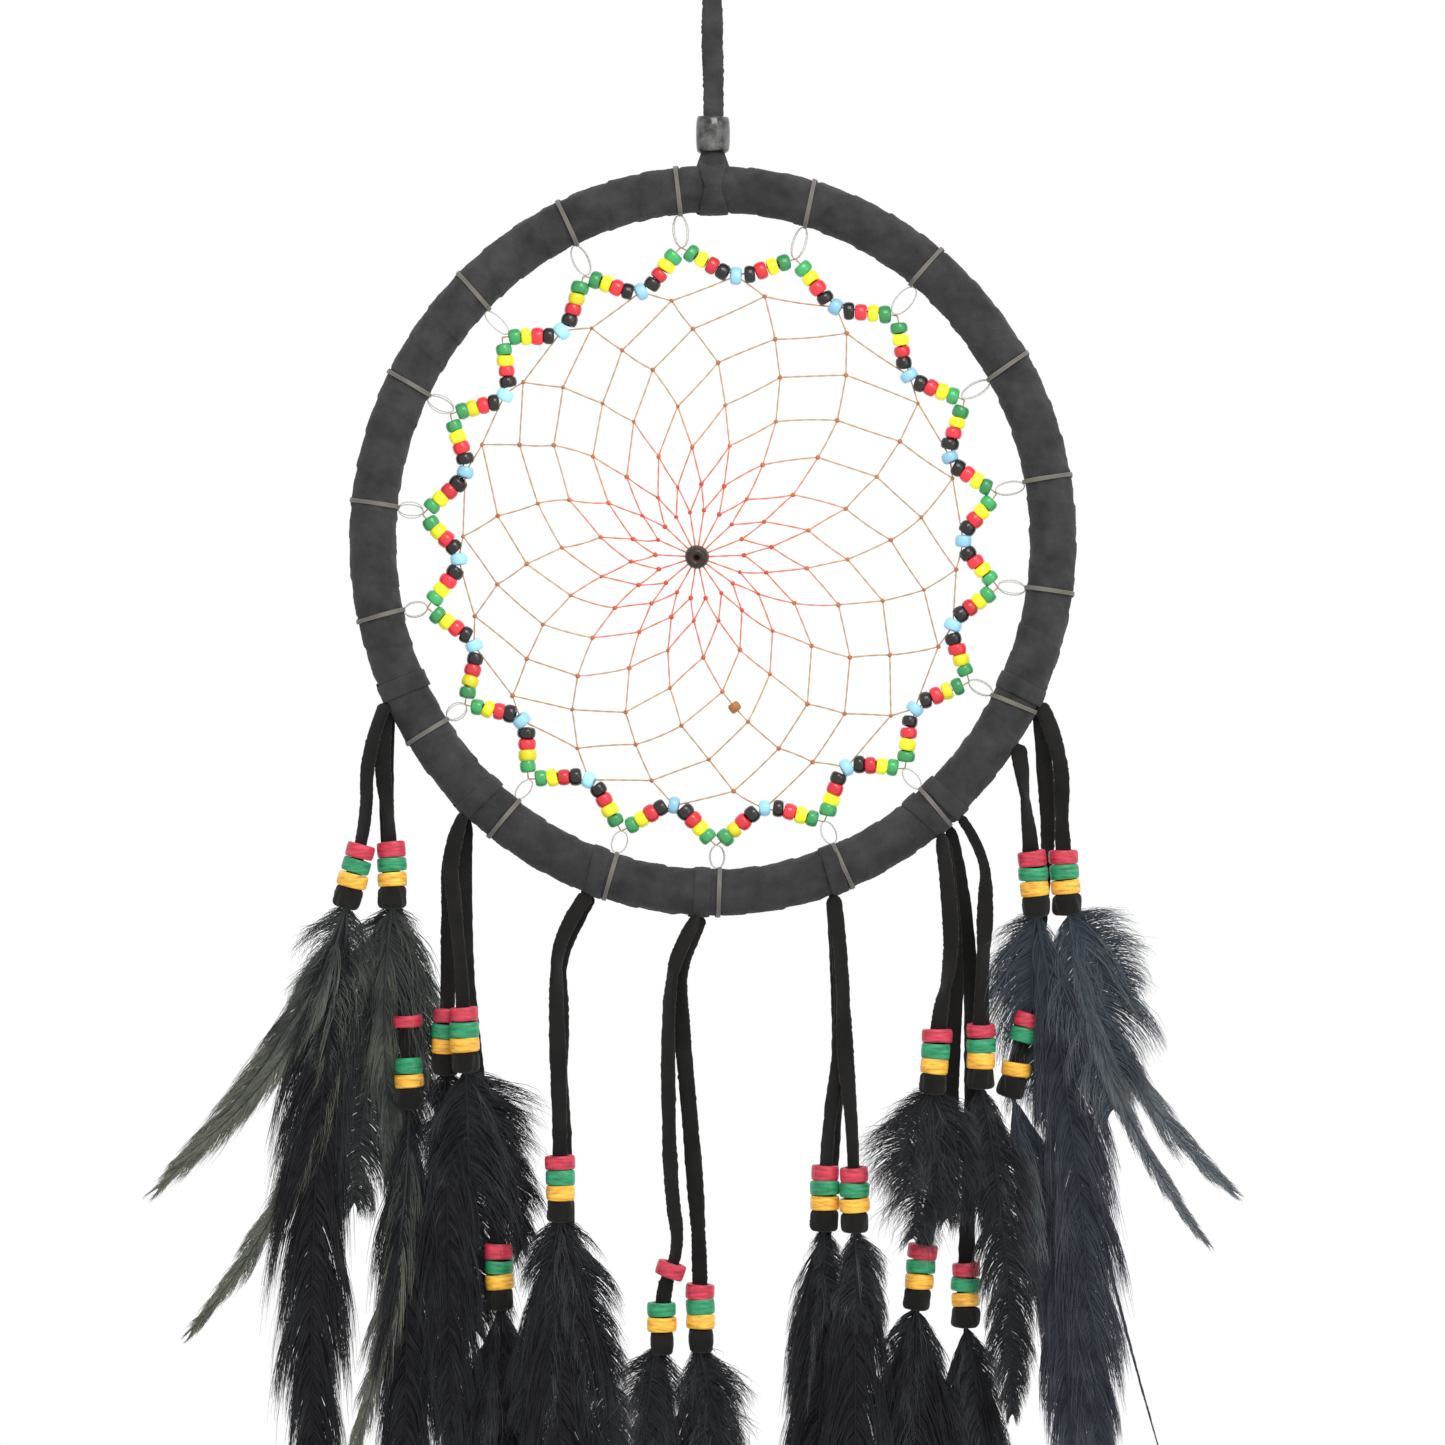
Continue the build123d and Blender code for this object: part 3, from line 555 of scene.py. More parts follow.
def islands(node):
    """Centre and hole axis of each separate solid in a CAD node."""
    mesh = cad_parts[node].data
    points = np.array([vertex.co for vertex in mesh.vertices])
    _, merged = np.unique(np.round(points, 6), axis=0, return_inverse=True)
    merged = merged.ravel()
    parent = np.arange(merged.max() + 1)

    def find(item):
        while parent[item] != item:
            parent[item] = parent[parent[item]]
            item = parent[item]
        return item

    for edge in mesh.edges:
        first, second = (find(merged[v]) for v in edge.vertices)
        parent[first] = second
    roots = np.array([find(item) for item in merged])
    found = []
    for root in np.unique(roots):
        cloud = np.unique(np.round(points[roots == root], 6), axis=0)
        centre = (cloud.min(0) + cloud.max(0)) / 2
        values, vectors = np.linalg.eigh(np.cov((cloud - cloud.mean(0)).T))
        odd = 0 if values[1] - values[0] > values[2] - values[1] else 2
        found.append((centre, vectors[:, odd]))
    return found


def bead(centre, axis, radius, length, hole, roundness, rng, tilt, segments=24, outline=20):
    """A lathed bead with soft shoulders and an uneven rim, a little askew on its thread."""
    angles = np.linspace(0, 2 * math.pi, outline, endpoint=False)
    across = np.sign(np.cos(angles)) * np.abs(np.cos(angles)) ** roundness
    along = np.sign(np.sin(angles)) * np.abs(np.sin(angles)) ** roundness
    middle, half_wall = (radius + hole) / 2, (radius - hole) / 2
    axis = unit(np.asarray(axis) + rng.normal(0, tilt, 3))
    side = unit(np.cross(axis, Y_AXIS + 0.01))
    other = np.cross(axis, side)
    turn = np.linspace(0, 2 * math.pi, segments, endpoint=False)
    swell = 1 + 0.02 * np.sin(2 * turn + rng.uniform(0, 6)) + 0.012 * np.sin(3 * turn + rng.uniform(0, 6))
    reach = (middle + across * half_wall)[None] * swell[:, None]
    rise = (along * length / 2)[None] * (1 + 0.04 * np.sin(turn + rng.uniform(0, 6)))[:, None]
    ring = np.cos(turn)[:, None] * side + np.sin(turn)[:, None] * other
    vertices = centre + reach[..., None] * ring[:, None] + rise[..., None] * axis
    return vertices.reshape(-1, 3), grid_quads(segments, outline, closed_rows=True), rng.uniform(0, 1)


# Hoop: the same oval of four tangent arcs as in the CAD, from the box of its suede.
wrap_low, wrap_high = (np.array(corner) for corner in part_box("suede_wrap"))
WRAP_RADIUS = wrap_high[1]
half_width = (wrap_high[0] - wrap_low[0]) / 2 - WRAP_RADIUS
half_height = (wrap_high[2] - wrap_low[2]) / 2 - WRAP_RADIUS
hoop_centre = (wrap_low + wrap_high) / 2
oval_shift = (half_height - half_width) / (2 - math.sqrt(2))


def on_hoop(angles):
    """Points on the hoop's centre line that face these angles, and the outward directions."""
    angles = np.atleast_1d(np.asarray(angles, float))
    sides = np.round(angles / 90).astype(int) % 4
    shifts = oval_shift * np.array(((-1, 0, 0), (0, 0, 1), (1, 0, 0), (0, 0, -1)))
    radii = np.where(sides % 2, half_height - oval_shift, half_width + oval_shift)
    turn = np.radians(angles)
    outward = np.stack([np.cos(turn), np.zeros_like(turn), np.sin(turn)], -1)
    return hoop_centre + shifts[sides] + outward * radii[:, None], outward


def wound_suede():
    """The hoop's covering: a suede strip wound round it, each turn lapping the last."""
    rng = named_random("wound suede")
    angles = np.linspace(0, 360, WRAP_ROWS, endpoint=False)
    centres, outward = on_hoop(angles)
    steps = np.linalg.norm(np.roll(centres, -1, axis=0) - centres, axis=1)
    along = np.concatenate([[0], np.cumsum(steps)[:-1]])
    turns = round(steps.sum() / STRIP_PITCH)
    round_tube = np.linspace(0, 2 * math.pi, WRAP_COLUMNS, endpoint=False)
    uneven = wander(rng, WRAP_ROWS, 0.16, 150)
    uneven[-SEAM_ROWS:] *= np.linspace(1, 0, SEAM_ROWS)
    uneven[:SEAM_ROWS] *= np.linspace(0, 1, SEAM_ROWS)
    phase = along[:, None] / steps.sum() * turns + round_tube[None] / (2 * math.pi) + uneven[:, None]
    lap = phase % 1.0
    step = np.where(lap < LAP_SHARE, lap / LAP_SHARE, (1 - lap) / (1 - LAP_SHARE))
    fold = FOLD_DEPTH * np.sin(7 * round_tube[None] + 5 * phase) * np.sin(along[:, None] * 700)
    nap = rng.normal(0, NAP_DEPTH, (WRAP_ROWS, WRAP_COLUMNS))
    radii = WRAP_RADIUS - STRIP_STEP * (1 - step) + fold + nap
    rings = centres[:, None] + radii[..., None] * (
        np.cos(round_tube)[None, :, None] * outward[:, None] + np.sin(round_tube)[None, :, None] * Y_AXIS
    )
    return rings.reshape(-1, 3), grid_quads(WRAP_ROWS, WRAP_COLUMNS, closed_rows=True)


wrap_vertices, wrap_quads = wound_suede()
make_piece("wound_suede_strip", wrap_vertices, wrap_quads, black_suede, "hoop", "suede_wrap", "black_suede")
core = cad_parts["hoop_core"]
core.data.materials.clear()
core.data.materials.append(dark_core)


def round_the_tube(angle, radius, turns, slant, spread, count):
    """A path that winds round the hoop's tube at one place, with its outward normals."""
    centre, outward = (item[0] for item in on_hoop(angle))
    hoop_tangent = np.cross(outward, Y_AXIS)
    turn = np.linspace(0, 2 * math.pi * turns, count)[:, None]
    normals = np.cos(turn) * outward + np.sin(turn) * Y_AXIS
    drift = slant * np.cos(turn) + spread * (turn / (2 * math.pi * turns) - 0.5)
    return centre + normals * radius + hoop_tangent * drift, normals


turn_angles = np.radians(BINDING_ANGLES)
outer_turns = np.stack([
    OUTER_TURN_CENTRE[0] + OUTER_TURN_HALF_SIZES[0] * np.cos(turn_angles),
    np.zeros(len(BINDING_ANGLES)),
    OUTER_TURN_CENTRE[1] + OUTER_TURN_HALF_SIZES[1] * np.sin(turn_angles),
], -1)

wraps, loops = [], []
for angle, turn in zip(BINDING_ANGLES, outer_turns):
    rng = named_random(f"binding {angle}")
    slant = rng.uniform(-0.0006, 0.0006)
    path, normals = round_the_tube(angle, WRAP_RADIUS + 0.0002, 3, slant, 0.0010, 150)
    wraps.append(sweep(path, normals, close_ends(twisted_section(150, BINDING_THREAD_RADIUS, 70))))
    centre, outward = (item[0] for item in on_hoop(angle))
    inner_edge = centre - outward * (WRAP_RADIUS + 0.0001)
    middle = (inner_edge + turn) / 2
    reach = np.linalg.norm(turn - inner_edge) / 2
    for lap in range(2):
        spin = np.linspace(0, 2 * math.pi, 48, endpoint=False)[:, None]
        across = np.cross(outward, Y_AXIS)
        wide = rng.uniform(*LOOP_HALF_WIDTHS)
        ring = middle + np.cos(spin) * outward * reach + np.sin(spin) * across * wide
        ring = ring + Y_AXIS * LOOP_LAP_DEPTH * (2 * lap - 1 + np.sin(spin))
        facing = np.broadcast_to(Y_AXIS, ring.shape)
        loops.append(sweep(ring, facing, twisted_section(48, LOOP_THREAD_RADIUS, 9), closed=True))
for name, parts, finish in (
    ("binding_wraps", wraps, binding_finish),
    ("binding_loops", loops, loop_finish),
):
    vertices, quads, _ = join_parts(parts)
    make_piece(name, vertices, quads, finish, "hoop", "binding_threads", "binding_thread")

# Seed beads, where the CAD's are.
for colour, finish in glass_finishes.items():
    rng = named_random(f"{colour} seed beads")
    parts = [
        bead(centre, axis, SEED_RADIUS * rng.uniform(0.93, 1.06), SEED_LENGTH * rng.uniform(0.88, 1.04),
             SEED_HOLE, roundness=0.85, rng=rng, tilt=0.10)
        for centre, axis in islands(f"{colour}_seed_beads")
    ]
    vertices, quads, tones = join_parts(parts)
    make_piece(f"{colour}_glass_beads", vertices, quads, finish, "hoop", f"{colour}_seed_beads",
               f"{colour}_glass", tones)

# String through the seed beads: from each outer turn, through the blue bead, to the next.
blue = islands("blue_seed_beads")
inner_turns = []
for place in range(len(outer_turns)):
    middle = (outer_turns[place] + outer_turns[(place + 1) % len(outer_turns)]) / 2
    inner_turns.append(min((centre for centre, _ in blue), key=lambda c: np.linalg.norm(c - middle)))
strings = []
for place, inner in enumerate(inner_turns):
    for outer in (outer_turns[place], outer_turns[(place + 1) % len(outer_turns)]):
        strings.append(thread_between(outer, inner, WEB_THREAD_RADIUS))
make_piece("bead_string", *join_parts(strings)[:2], web_finish, "hoop", "bead_thread", "web_thread")

# Web: rows of knots, each joined to two in the row before, and the last row to the hub.
small_bead, hub_bead = sorted(islands("web_beads"), key=lambda item: item[0][2])
hub = hub_bead[0]
rng = named_random("web")


def nearness(point):
    """How near a point of the web is to the hub, from 0 at the beads to 1."""
    return float(np.clip(1.25 - 2 * np.linalg.norm(point - hub) / WEB_FIRST_RADIUS, 0, 1))


rows = [inner_turns]
for row, radius in enumerate(WEB_ROW_RADII, start=1):
    centre = hub + (hoop_centre - hub) * (radius / WEB_FIRST_RADIUS)
    knots = []
    for inner in inner_turns:
        spoke = unit(inner - hoop_centre)
        turn = -math.radians(WEB_TURN_PER_ROW * row)
        direction = np.array((
            spoke[0] * math.cos(turn) - spoke[2] * math.sin(turn), 0,
            spoke[0] * math.sin(turn) + spoke[2] * math.cos(turn),
        ))
        slip = rng.normal(0, KNOT_WANDER, 3) * (1, 0.3, 1) * (radius / WEB_FIRST_RADIUS)
        knots.append(centre + direction * radius + slip)
    rows.append(knots)
threads, lumps = [], []
for before, knots in zip(rows, rows[1:]):
    for place, knot in enumerate(knots):
        for neighbour in (before[place], before[place - 1]):
            sag = rng.uniform(-0.0003, 0.0004)
            threads.append(thread_between(neighbour, knot, WEB_THREAD_RADIUS, sag, nearness(knot)))
        direction = rng.normal(0, 1, 3)
        radius = KNOT_RADIUS * rng.uniform(0.85, 1.25)
        lump = bead(knot, direction, radius, KNOT_RADIUS * 1.9, hole=KNOT_HOLE, roundness=1.0,
                    rng=rng, tilt=0.2, segments=10)
        lumps.append((*lump[:2], nearness(knot)))
for knot in rows[-1]:
    threads.append(thread_between(hub, knot, WEB_THREAD_RADIUS, tone=1.0))
vertices, quads, tones = join_parts(threads)
make_piece("web_threads", vertices, quads, web_finish, "hoop", "web_thread", "web_thread", tones)
vertices, quads, tones = join_parts(lumps)
make_piece("web_knots", vertices, quads, knot_finish, "hoop", "web_thread", "web_thread", tones)
rng = named_random("web beads")
vertices, quads, tones = join_parts([
    bead(hub, (0, 1, 0.15), HUB_RADIUS, HUB_LENGTH, HUB_HOLE,
         roundness=1.0, rng=rng, tilt=0.02, segments=36)
])
make_piece("web_hub_bead", vertices, quads, brown_finish, "hoop", "web_beads", "brown_bead", tones)
vertices, quads, tones = join_parts([
    bead(*small_bead, SMALL_BEAD_RADIUS, SMALL_BEAD_LENGTH, SMALL_BEAD_HOLE,
         roundness=0.9, rng=rng, tilt=0.05)
])
make_piece("web_small_bead", vertices, quads, amber_finish, "hoop", "web_beads", "brown_bead", tones)

# Hitches: the laces' turns round the hoop.
hitches = []
for angle in HITCH_ANGLES:
    rng = named_random(f"hitch {angle}")
    slant = rng.uniform(-0.0008, 0.0008)
    path, normals = round_the_tube(angle, WRAP_RADIUS + 0.0001, 2, slant, HITCH_SPREAD, 120)
    twist = wander(rng, 120, 0.12, 9)
    sections = ribbon_section(120, HITCH_WIDTH, HITCH_THICKNESS, rng, twist)
    hitches.append(sweep(path, normals, close_ends(sections)))
vertices, quads, _ = join_parts(hitches)
make_piece("lace_hitches_wound", vertices, quads, black_suede, "hoop", "lace_hitches", "black_suede")


# Cords.
def route_line(name, points):
    """The points of the NURBS line with these control points."""
    curve = bpy.data.curves.new(name, "CURVE")
    curve.dimensions = "3D"
    spline = curve.splines.new("NURBS")
    spline.points.add(len(points) - 1)
    for control, point in zip(spline.points, points):
        control.co = (*point, 1.0)
    spline.order_u = 3
    spline.use_endpoint_u = True
    spline.resolution_u = 24
    holder = bpy.data.objects.new(name, curve)
    bpy.context.scene.collection.objects.link(holder)
    mesh = bpy.data.meshes.new_from_object(holder)
    line = np.array([vertex.co for vertex in mesh.vertices])
    bpy.data.objects.remove(holder)
    bpy.data.meshes.remove(mesh)
    return line


def flat_lace(name, points, width, twist_swing, body, node, finish):
    """A flat suede lace along a route, turning a little about its own line."""
    rng = named_random(name)
    line = route_line(name + "_route", points)
    twist = wander(rng, len(line), twist_swing, max(4, len(line) // 22))
    twist[-12:] *= np.linspace(1, 0, 12)
    sections = close_ends(ribbon_section(len(line), width, LACE_THICKNESS, rng, twist))
    normals = np.broadcast_to(Y_AXIS, line.shape)
    vertices, quads, _ = sweep(line, normals, sections)
    return make_piece(name, vertices, quads, finish, body, node, "black_suede"), line


def suede_binding(name, centre, axis, body, node):
    """A scrap of suede folded round the quills, lumpy, with a lapped edge."""
    rng = named_random(name)
    rows, columns = 22, 40
    share = np.linspace(-1, 1, rows)
    turn = np.linspace(0, 2 * math.pi, columns, endpoint=False)
    shoulder = (1 - np.abs(share) ** 5) ** 0.4
    lumps = 0
    for count in (2, 3, 5, 8):
        height, lean, start = rng.uniform(0.02, 0.05), rng.uniform(-1, 1), rng.uniform(0, 6)
        lumps = lumps + height * np.sin(count * turn[None] + 2.5 * share[:, None] * lean + start)
    lap = 0.07 * (((turn[None] + 0.5 * share[:, None]) / (2 * math.pi)) % 1.0)
    radius = BINDING_RADIUS * (0.25 + 0.75 * shoulder[:, None]) * (1 + lumps + lap)
    axis = unit(np.asarray(axis) * np.sign(axis[2]))
    side = unit(np.cross(axis, Y_AXIS))
    other = np.cross(axis, side)
    ring = np.cos(turn)[:, None] * side + np.sin(turn)[:, None] * other
    heights = share * BINDING_HALF_LENGTH * rng.uniform(0.95, 1.10)
    vertices = centre + radius[..., None] * ring[None] + heights[:, None, None] * axis
    quads = grid_quads(rows, columns)
    return make_piece(name, vertices.reshape(-1, 3), quads, lace_suede, body, node, "black_suede")


# Feathers.
def barb_ribbons(points, width, rng):
    """Thin ribbons along rows of points: each is tilted at random and narrows to its tip."""
    count, steps = points.shape[:2]
    directions = unit(np.gradient(points, axis=1))
    tilt = rng.normal(0, BARB_TILT, count)[:, None, None]
    flat = unit(np.cross(directions, Y_AXIS))
    spread = unit(flat * np.cos(tilt) + np.cross(directions, flat) * np.sin(tilt))
    ribbon = width * (1 - 0.88 * np.linspace(0, 1, steps)[None, :, None])
    edges = np.stack([points - spread * ribbon / 2, points + spread * ribbon / 2], 2)
    place = np.arange(count)[:, None] * 2 * steps + np.arange(steps - 1)[None] * 2
    quads = np.stack([place, place + 1, place + 3, place + 2], -1).reshape(-1, 4)
    return edges.reshape(-1, 3), quads


def plume(name, root, tip, width, bow, kind, depth):
    """A feather: a tapered shaft, and barbs that sweep out from both its sides."""
    rng = named_random(name)
    angle, loose, layers, bare, tip_paleness = FEATHER_KINDS[kind]
    root = np.asarray(root, float)
    tip = np.array((tip[0], depth + rng.uniform(-0.001, 0.001), tip[1]))
    length = np.linalg.norm(tip - root)
    across = unit(np.cross(unit(tip - root), Y_AXIS))
    control = (root + tip) / 2 + across * bow * 2
    control[1] = tip[1]

    def shaft(t):
        t = t[:, None]
        return (1 - t) ** 2 * root + 2 * t * (1 - t) * control + t**2 * tip

    share = np.linspace(0, 1, 48)
    stem = shaft(share)
    stem_radius = SHAFT_RADIUS * (1 - 0.85 * share)[:, None]
    ring = np.linspace(0, 2 * math.pi, 6, endpoint=False)
    stem_sections = np.stack([stem_radius * np.cos(ring), stem_radius * np.sin(ring)], -1)
    parts = [sweep(stem, np.broadcast_to(Y_AXIS, stem.shape), stem_sections, tone=0.3)]

    count = int(length * (1 - bare) / BARB_SPACING)
    s = np.linspace(0, 1, BARB_POINTS)[None]
    tuft_count = max(6, int(length / TUFT_LENGTH))
    tufts = {hand: wander(rng, count, 0.42 * loose + 0.30, tuft_count) for hand in (-1, 1)}
    for layer in range(layers):
        for hand in (-1, 1):
            t = np.sort(bare + (1 - bare) * (np.arange(count) + rng.uniform(0, 1, count)) / count)
            base = shaft(t)
            forward = unit(shaft(np.minimum(t + 0.01, 1.001)) - shaft(t - 0.01))
            sideways = unit(np.cross(forward, Y_AXIS)) * -hand
            profile = np.minimum(1, (t / 0.12) ** 0.6) * np.clip((1.03 - t) / 0.55, 0, 1) ** 0.6
            clump = tufts[hand] + wander(rng, count, 0.15, 2 * tuft_count)
            ragged = 1 + clump + rng.normal(0, 0.06 + 0.16 * loose, count)
            half = width / 2 * profile * np.clip(ragged, 0.12, 1.6)
            lean = math.radians(angle) * (1 + 0.35 * clump + rng.normal(0, 0.06 + 0.15 * loose, count))
            run = half / np.tan(np.clip(lean, 0.12, 1.3))
            run = np.minimum(run, length * 0.30) + 0.0015
            lift = np.clip(rng.normal(0, 0.10 + 0.38 * loose, count) * half, -BARB_LIFT, BARB_LIFT)
            lift = lift + (layer - layers / 2) * LAYER_STEP
            droop = rng.normal(0, 0.10 * loose, count)[:, None]
            out = half[:, None] * (1 - (1 - s) ** 1.7 + droop * s**2)
            down = run[:, None] * s**1.25
            deep = lift[:, None] * s**1.5
            wave = loose * 0.0006 * np.sin(9 * s + rng.uniform(0, 6, count)[:, None]) * s
            points = (base[:, None] + sideways[:, None] * (out + wave)[..., None]
                      + forward[:, None] * down[..., None] + Y_AXIS * deep[..., None])
            vertices, quads = barb_ribbons(points, BARB_WIDTH * (1 - 0.35 * loose), rng)
            fade = 0.25 + 0.55 * s + tip_paleness * t[:, None]
            fade = fade * rng.uniform(0.6, 1.25, count)[:, None]
            parts.append((vertices, quads, np.repeat(fade, 2)))
    return join_parts(parts)


# Hanging groups: laces, wooden beads, bindings and feathers.
hoop_line, _ = on_hoop(np.linspace(0, 360, 1440, endpoint=False))


def lace_root(first, depth):
    """Where a lace leaves the suede, on the side of the hoop's tube that faces its route."""
    start = np.array((first[0], 0, first[1]))
    nearest = hoop_line[np.argmin(np.linalg.norm(hoop_line - start, axis=1))]
    root = nearest + unit(start - nearest) * ROOT_DEPTH
    return (root[0], depth * 0.5, root[2])


for number, strands in STRANDS.items():
    body = f"group_{number}"
    bindings = islands(f"quill_bindings_{number}")
    wood = {colour: islands(f"{colour}_wood_beads_{number}") for colour in wood_finishes}
    for order, (depth, route, feathers) in enumerate(strands, start=1):
        for colour, found in wood.items():
            for centre, axis in found:
                if abs(centre[1] - depth) > SAME_DEPTH:
                    continue
                name = f"wood_bead_{number}_{order}_{colour}"
                rng = named_random(name)
                vertices, quads, tones = join_parts([
                    bead(centre, axis, WOOD_RADIUS * rng.uniform(0.95, 1.04),
                         WOOD_LENGTH * rng.uniform(0.86, 1.02), WOOD_HOLE,
                         roundness=0.55, rng=rng, tilt=0.045, segments=36)
                ])
                make_piece(name, vertices, quads, wood_finishes[colour], body,
                                            f"{colour}_wood_beads_{number}", f"{colour}_wood", tones)
        centre, axis = next(item for item in bindings if abs(item[0][1] - depth) < SAME_DEPTH)
        axis = axis * np.sign(axis[2])
        name = f"quill_binding_{number}_{order}"
        suede_binding(name, centre, axis, body, f"quill_bindings_{number}")

        points = [lace_root(route[0], depth)] + [(x, depth, z) for x, z in route[1:]]
        lace, line = flat_lace(f"lace_{number}_{order}", points, LACE_WIDTH, LACE_TWIST, body,
                               f"laces_{number}", lace_suede)

        root = centre - axis * QUILL_START
        for place, (tip, width, bow, kind) in enumerate(feathers, start=1):
            name = f"feather_{number}_{order}_{place}"
            tip_depth = depth + SWEPT_BACK.get((number, order), 0)
            vertices, quads, tones = plume(name, root, tip, width, bow, kind, tip_depth)
            finish = LONG_FEATHERS[number] if kind == "column" else GROUP_FEATHERS[number]
            make_piece(name, vertices, quads, finish, body, f"feathers_{number}", "feather", tones)

rng = named_random("loose bead")
vertices, quads, tones = join_parts([
    bead(*islands("loose_red_bead")[0], WOOD_RADIUS, LOOSE_BEAD_LENGTH, WOOD_HOLE,
         roundness=0.55, rng=rng, tilt=0.03, segments=36)
])
make_piece("loose_wood_bead", vertices, quads, wood_finishes["red"], "loose_bead", "loose_red_bead",
           "red_wood", tones)

# Hanger: the lace, its barrel bead, the knot on the hoop, and the loop above the view.
lace_low, lace_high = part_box("hanger_lace")
hanger_points = [
    (0, 0, lace_low[2]), (0.0003, 0, lace_low[2] + 0.015),
    (-0.0003, 0, lace_high[2] - 0.014), (0, 0, lace_high[2] + HANGER_INTO_KNOT),
]
hanger_lace, hanger_line = flat_lace(
    "hanger_lace_strip", hanger_points, HANGER_WIDTH, HANGER_TWIST, "hanger", "hanger_lace", black_suede
)

bead_low, bead_high = (np.array(corner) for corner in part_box("hanger_bead"))
rng = named_random("barrel bead")
vertices, quads, _ = bead(
    (bead_low + bead_high) / 2, (0, 0, 1), bead_high[0], bead_high[2] - bead_low[2], BARREL_HOLE,
    roundness=0.80, rng=rng, tilt=0.01, segments=48,
)
make_piece("barrel_bead_smoky", vertices, quads, smoky_finish, "barrel_bead", "hanger_bead", "smoky_bead")

knot_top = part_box("hoop_knot")[1][2]
rng = named_random("hoop knot")
knot_parts = []
for slant in STRAP_SLANTS:
    path, normals = round_the_tube(90, WRAP_RADIUS + 0.0002, 1.5, slant, STRAP_SPREAD, 110)
    twist = wander(rng, 110, 0.15, 9)
    sections = ribbon_section(110, STRAP_WIDTH, STRAP_THICKNESS, rng, twist)
    knot_parts.append(sweep(path, normals, close_ends(sections)))
neck_heights = np.linspace(knot_top - 0.0042, knot_top + 0.0006, 24)
neck = np.stack([np.zeros(24), np.zeros(24), neck_heights], -1)
neck_sides = np.linspace(NECK_RADIUS, NECK_TOP_RADIUS, 24)[:, None]
ring = np.linspace(0, 2 * math.pi, 24, endpoint=False)[None]
neck_lumps = 1 + 0.07 * np.sin(3 * ring + 40 * neck_sides) + 0.05 * np.sin(7 * ring)
neck_across = neck_sides * np.cos(ring) * neck_lumps
neck_deep = neck_sides * 0.8 * np.sin(ring) * neck_lumps
neck_sections = np.stack([neck_across, neck_deep], -1)
knot_parts.append(sweep(neck, np.broadcast_to(Y_AXIS, neck.shape), close_ends(neck_sections)))
vertices, quads, _ = join_parts(knot_parts)
make_piece("hoop_knot_suede", vertices, quads, black_suede, "knot", "hoop_knot", "black_suede")

tie_low, tie_high = (np.array(corner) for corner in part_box("loop_knot"))
tie_centre, tie_half = (tie_low + tie_high) / 2, (tie_high - tie_low) / 2
tie_parts = []
for place, (phase, lean) in enumerate(((0.0, 0.25), (1.9, -0.3), (3.8, 0.15))):
    spin = np.linspace(0, 2 * math.pi, 64, endpoint=False)
    ring_path = np.stack([
        np.cos(spin + phase) * tie_half[0] * 0.68, np.sin(spin + phase) * tie_half[1] * 0.68,
        (place - 0.8) * tie_half[2] * 0.45 + lean * tie_half[2] * 0.7 * np.sin(spin),
    ], -1)
    sections = ribbon_section(64, TIE_WIDTH, TIE_THICKNESS, named_random(f"tie {place}"), np.zeros(64))
    tie_parts.append(sweep(tie_centre + ring_path, unit(ring_path * (1, 1, 0)), sections, closed=True))
vertices, quads, _ = join_parts(tie_parts)
loop_knot = make_piece("loop_knot_suede", vertices, quads, black_suede, "hanger", "loop_knot",
                       "black_suede")

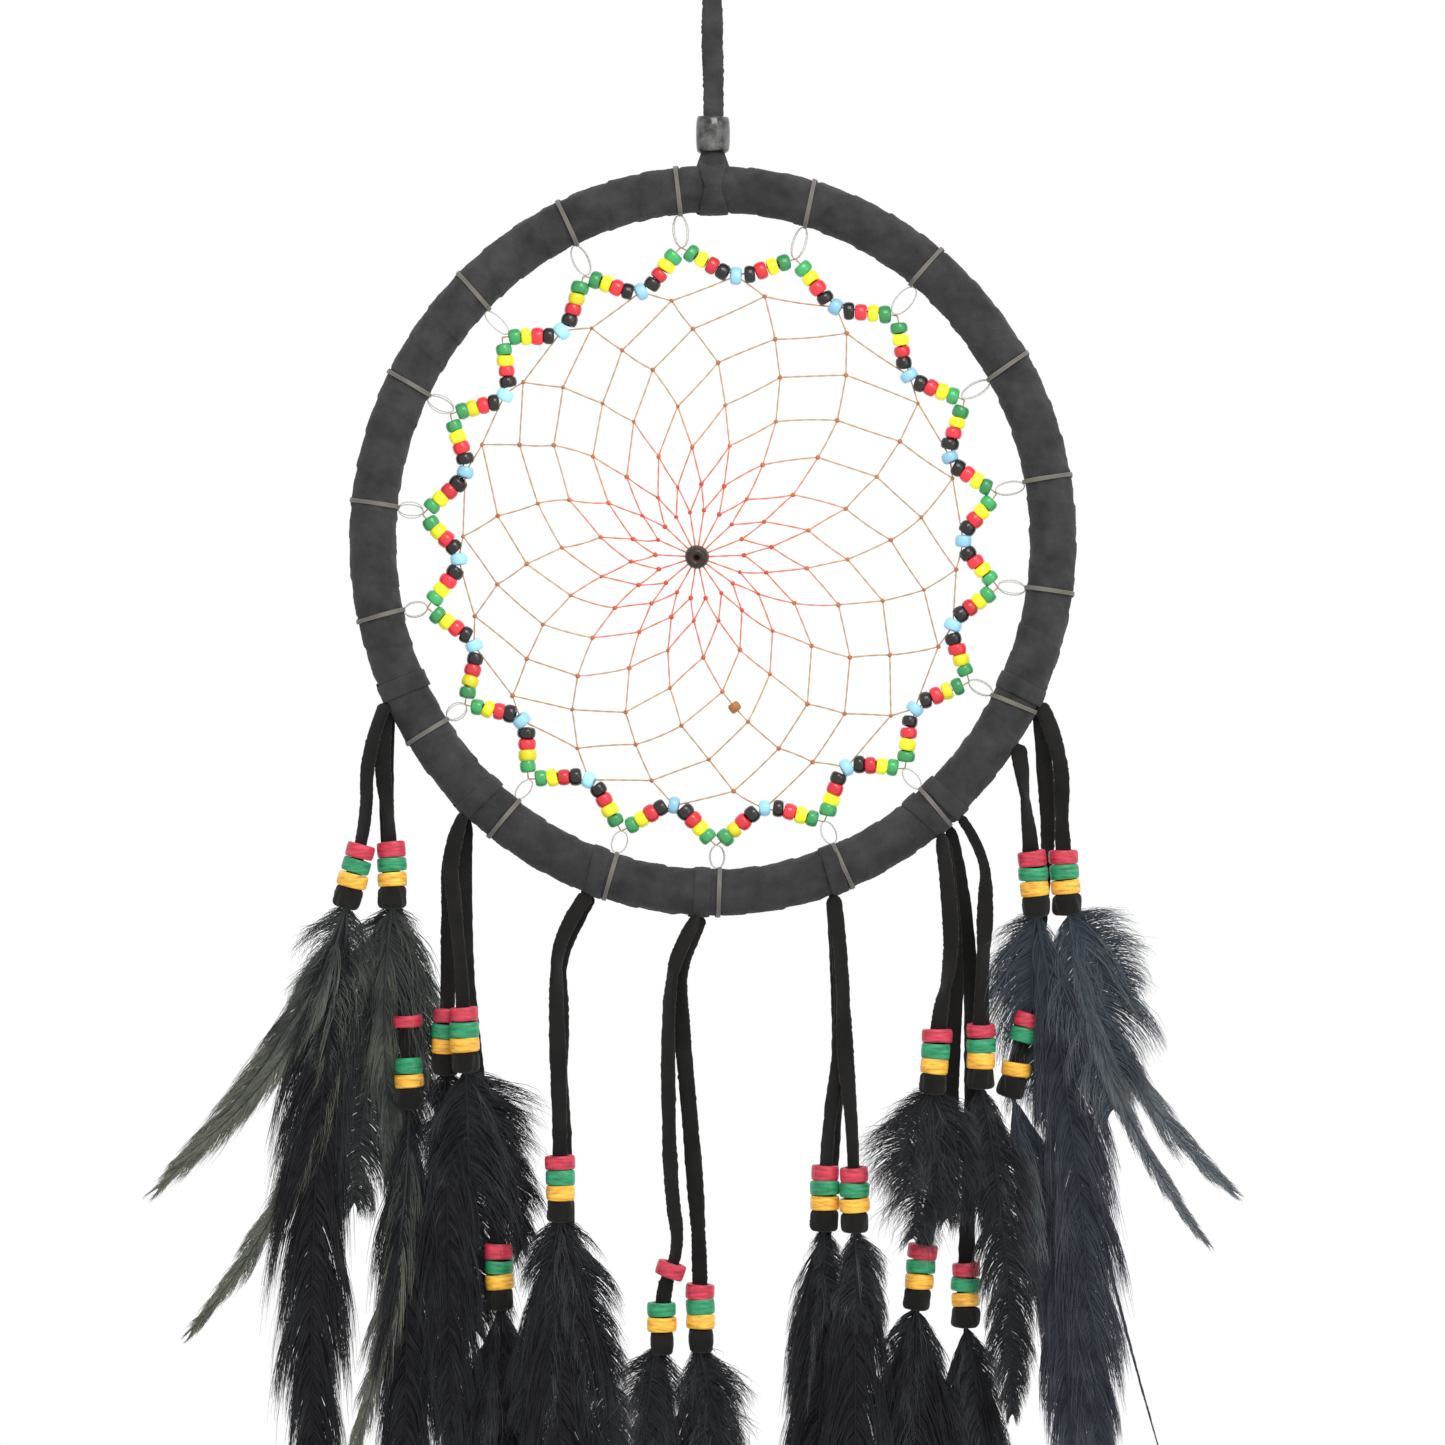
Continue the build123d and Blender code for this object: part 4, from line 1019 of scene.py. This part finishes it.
loop_points = [
    (-0.0018, 0, tie_high[2] - 0.001), (-0.0018, 0, -0.019), (-0.005, 0, -0.009),
    (-0.0052, 0, 0.0012), (0, 0, 0.0030), (0.0052, 0, 0.0012),
    (0.005, 0, -0.009), (0.0018, 0, -0.019), (0.0018, 0, tie_high[2] - 0.001),
]
loop_line = route_line("loop_route", loop_points)
no_twist = np.zeros(len(loop_line))
sections = ribbon_section(len(loop_line), LOOP_WIDTH, LOOP_WIDTH, named_random("loop"), no_twist)
facing = np.broadcast_to(Y_AXIS, loop_line.shape)
vertices, quads, _ = sweep(loop_line, facing, close_ends(sections))
hanging_loop = make_piece("hanging_loop_suede", vertices, quads, black_suede, "hanger", "hanger_loop",
                          "black_suede")


# Floor, light and camera.
def pale_floor():
    """A plain pale floor under the object."""
    bpy.ops.mesh.primitive_plane_add(size=FLOOR_SIZE, location=(0, 0, FLOOR_Z))
    floor = bpy.context.object
    floor.name = "floor"
    material, add_node, link, place = start_material("floor", Roughness=0.8)
    tone = speckle(add_node, place, 6)
    link(ramp(add_node, tone, [(0.3, (0.80, 0.80, 0.79)), (0.7, (0.86, 0.86, 0.86))]), "Base Color")
    floor.data.materials.append(material)


def area_light(name, place, aim, size, energy):
    """A soft square light that points at a place."""
    data = bpy.data.lights.new(name, "AREA")
    data.size = size
    data.energy = energy
    light = bpy.data.objects.new(name, data)
    bpy.context.scene.collection.objects.link(light)
    light.location = place
    direction = light.location - aim
    light.rotation_euler = direction.to_track_quat("Z", "Y").to_euler()


pale_floor()
scene = bpy.context.scene
world = bpy.data.worlds.new("studio")
world.use_nodes = True
world.node_tree.nodes["Background"].inputs["Color"].default_value = (1.0, 1.0, 1.0, 1.0)
world.node_tree.nodes["Background"].inputs["Strength"].default_value = 1.0
scene.world = world
scene.view_settings.view_transform = "Standard"
middle_of_view = Vector((PICTURE_CENTRE[0], 0, PICTURE_CENTRE[1]))
area_light("key", (0.10, -0.42, 0.17), middle_of_view, 0.3, 1.9)
area_light("fill", (0.9, -1.0, 0.0), middle_of_view, 0.8, 3)

camera_data = bpy.data.cameras.new("camera")
camera_data.sensor_width = SENSOR_WIDTH
camera_data.lens = SENSOR_WIDTH * CAMERA_DISTANCE / PICTURE_WIDTH
camera = bpy.data.objects.new("camera", camera_data)
scene.collection.objects.link(camera)
camera.location = (PICTURE_CENTRE[0], -CAMERA_DISTANCE, PICTURE_CENTRE[1])
camera.rotation_euler = (math.radians(90), 0, 0)
scene.camera = camera
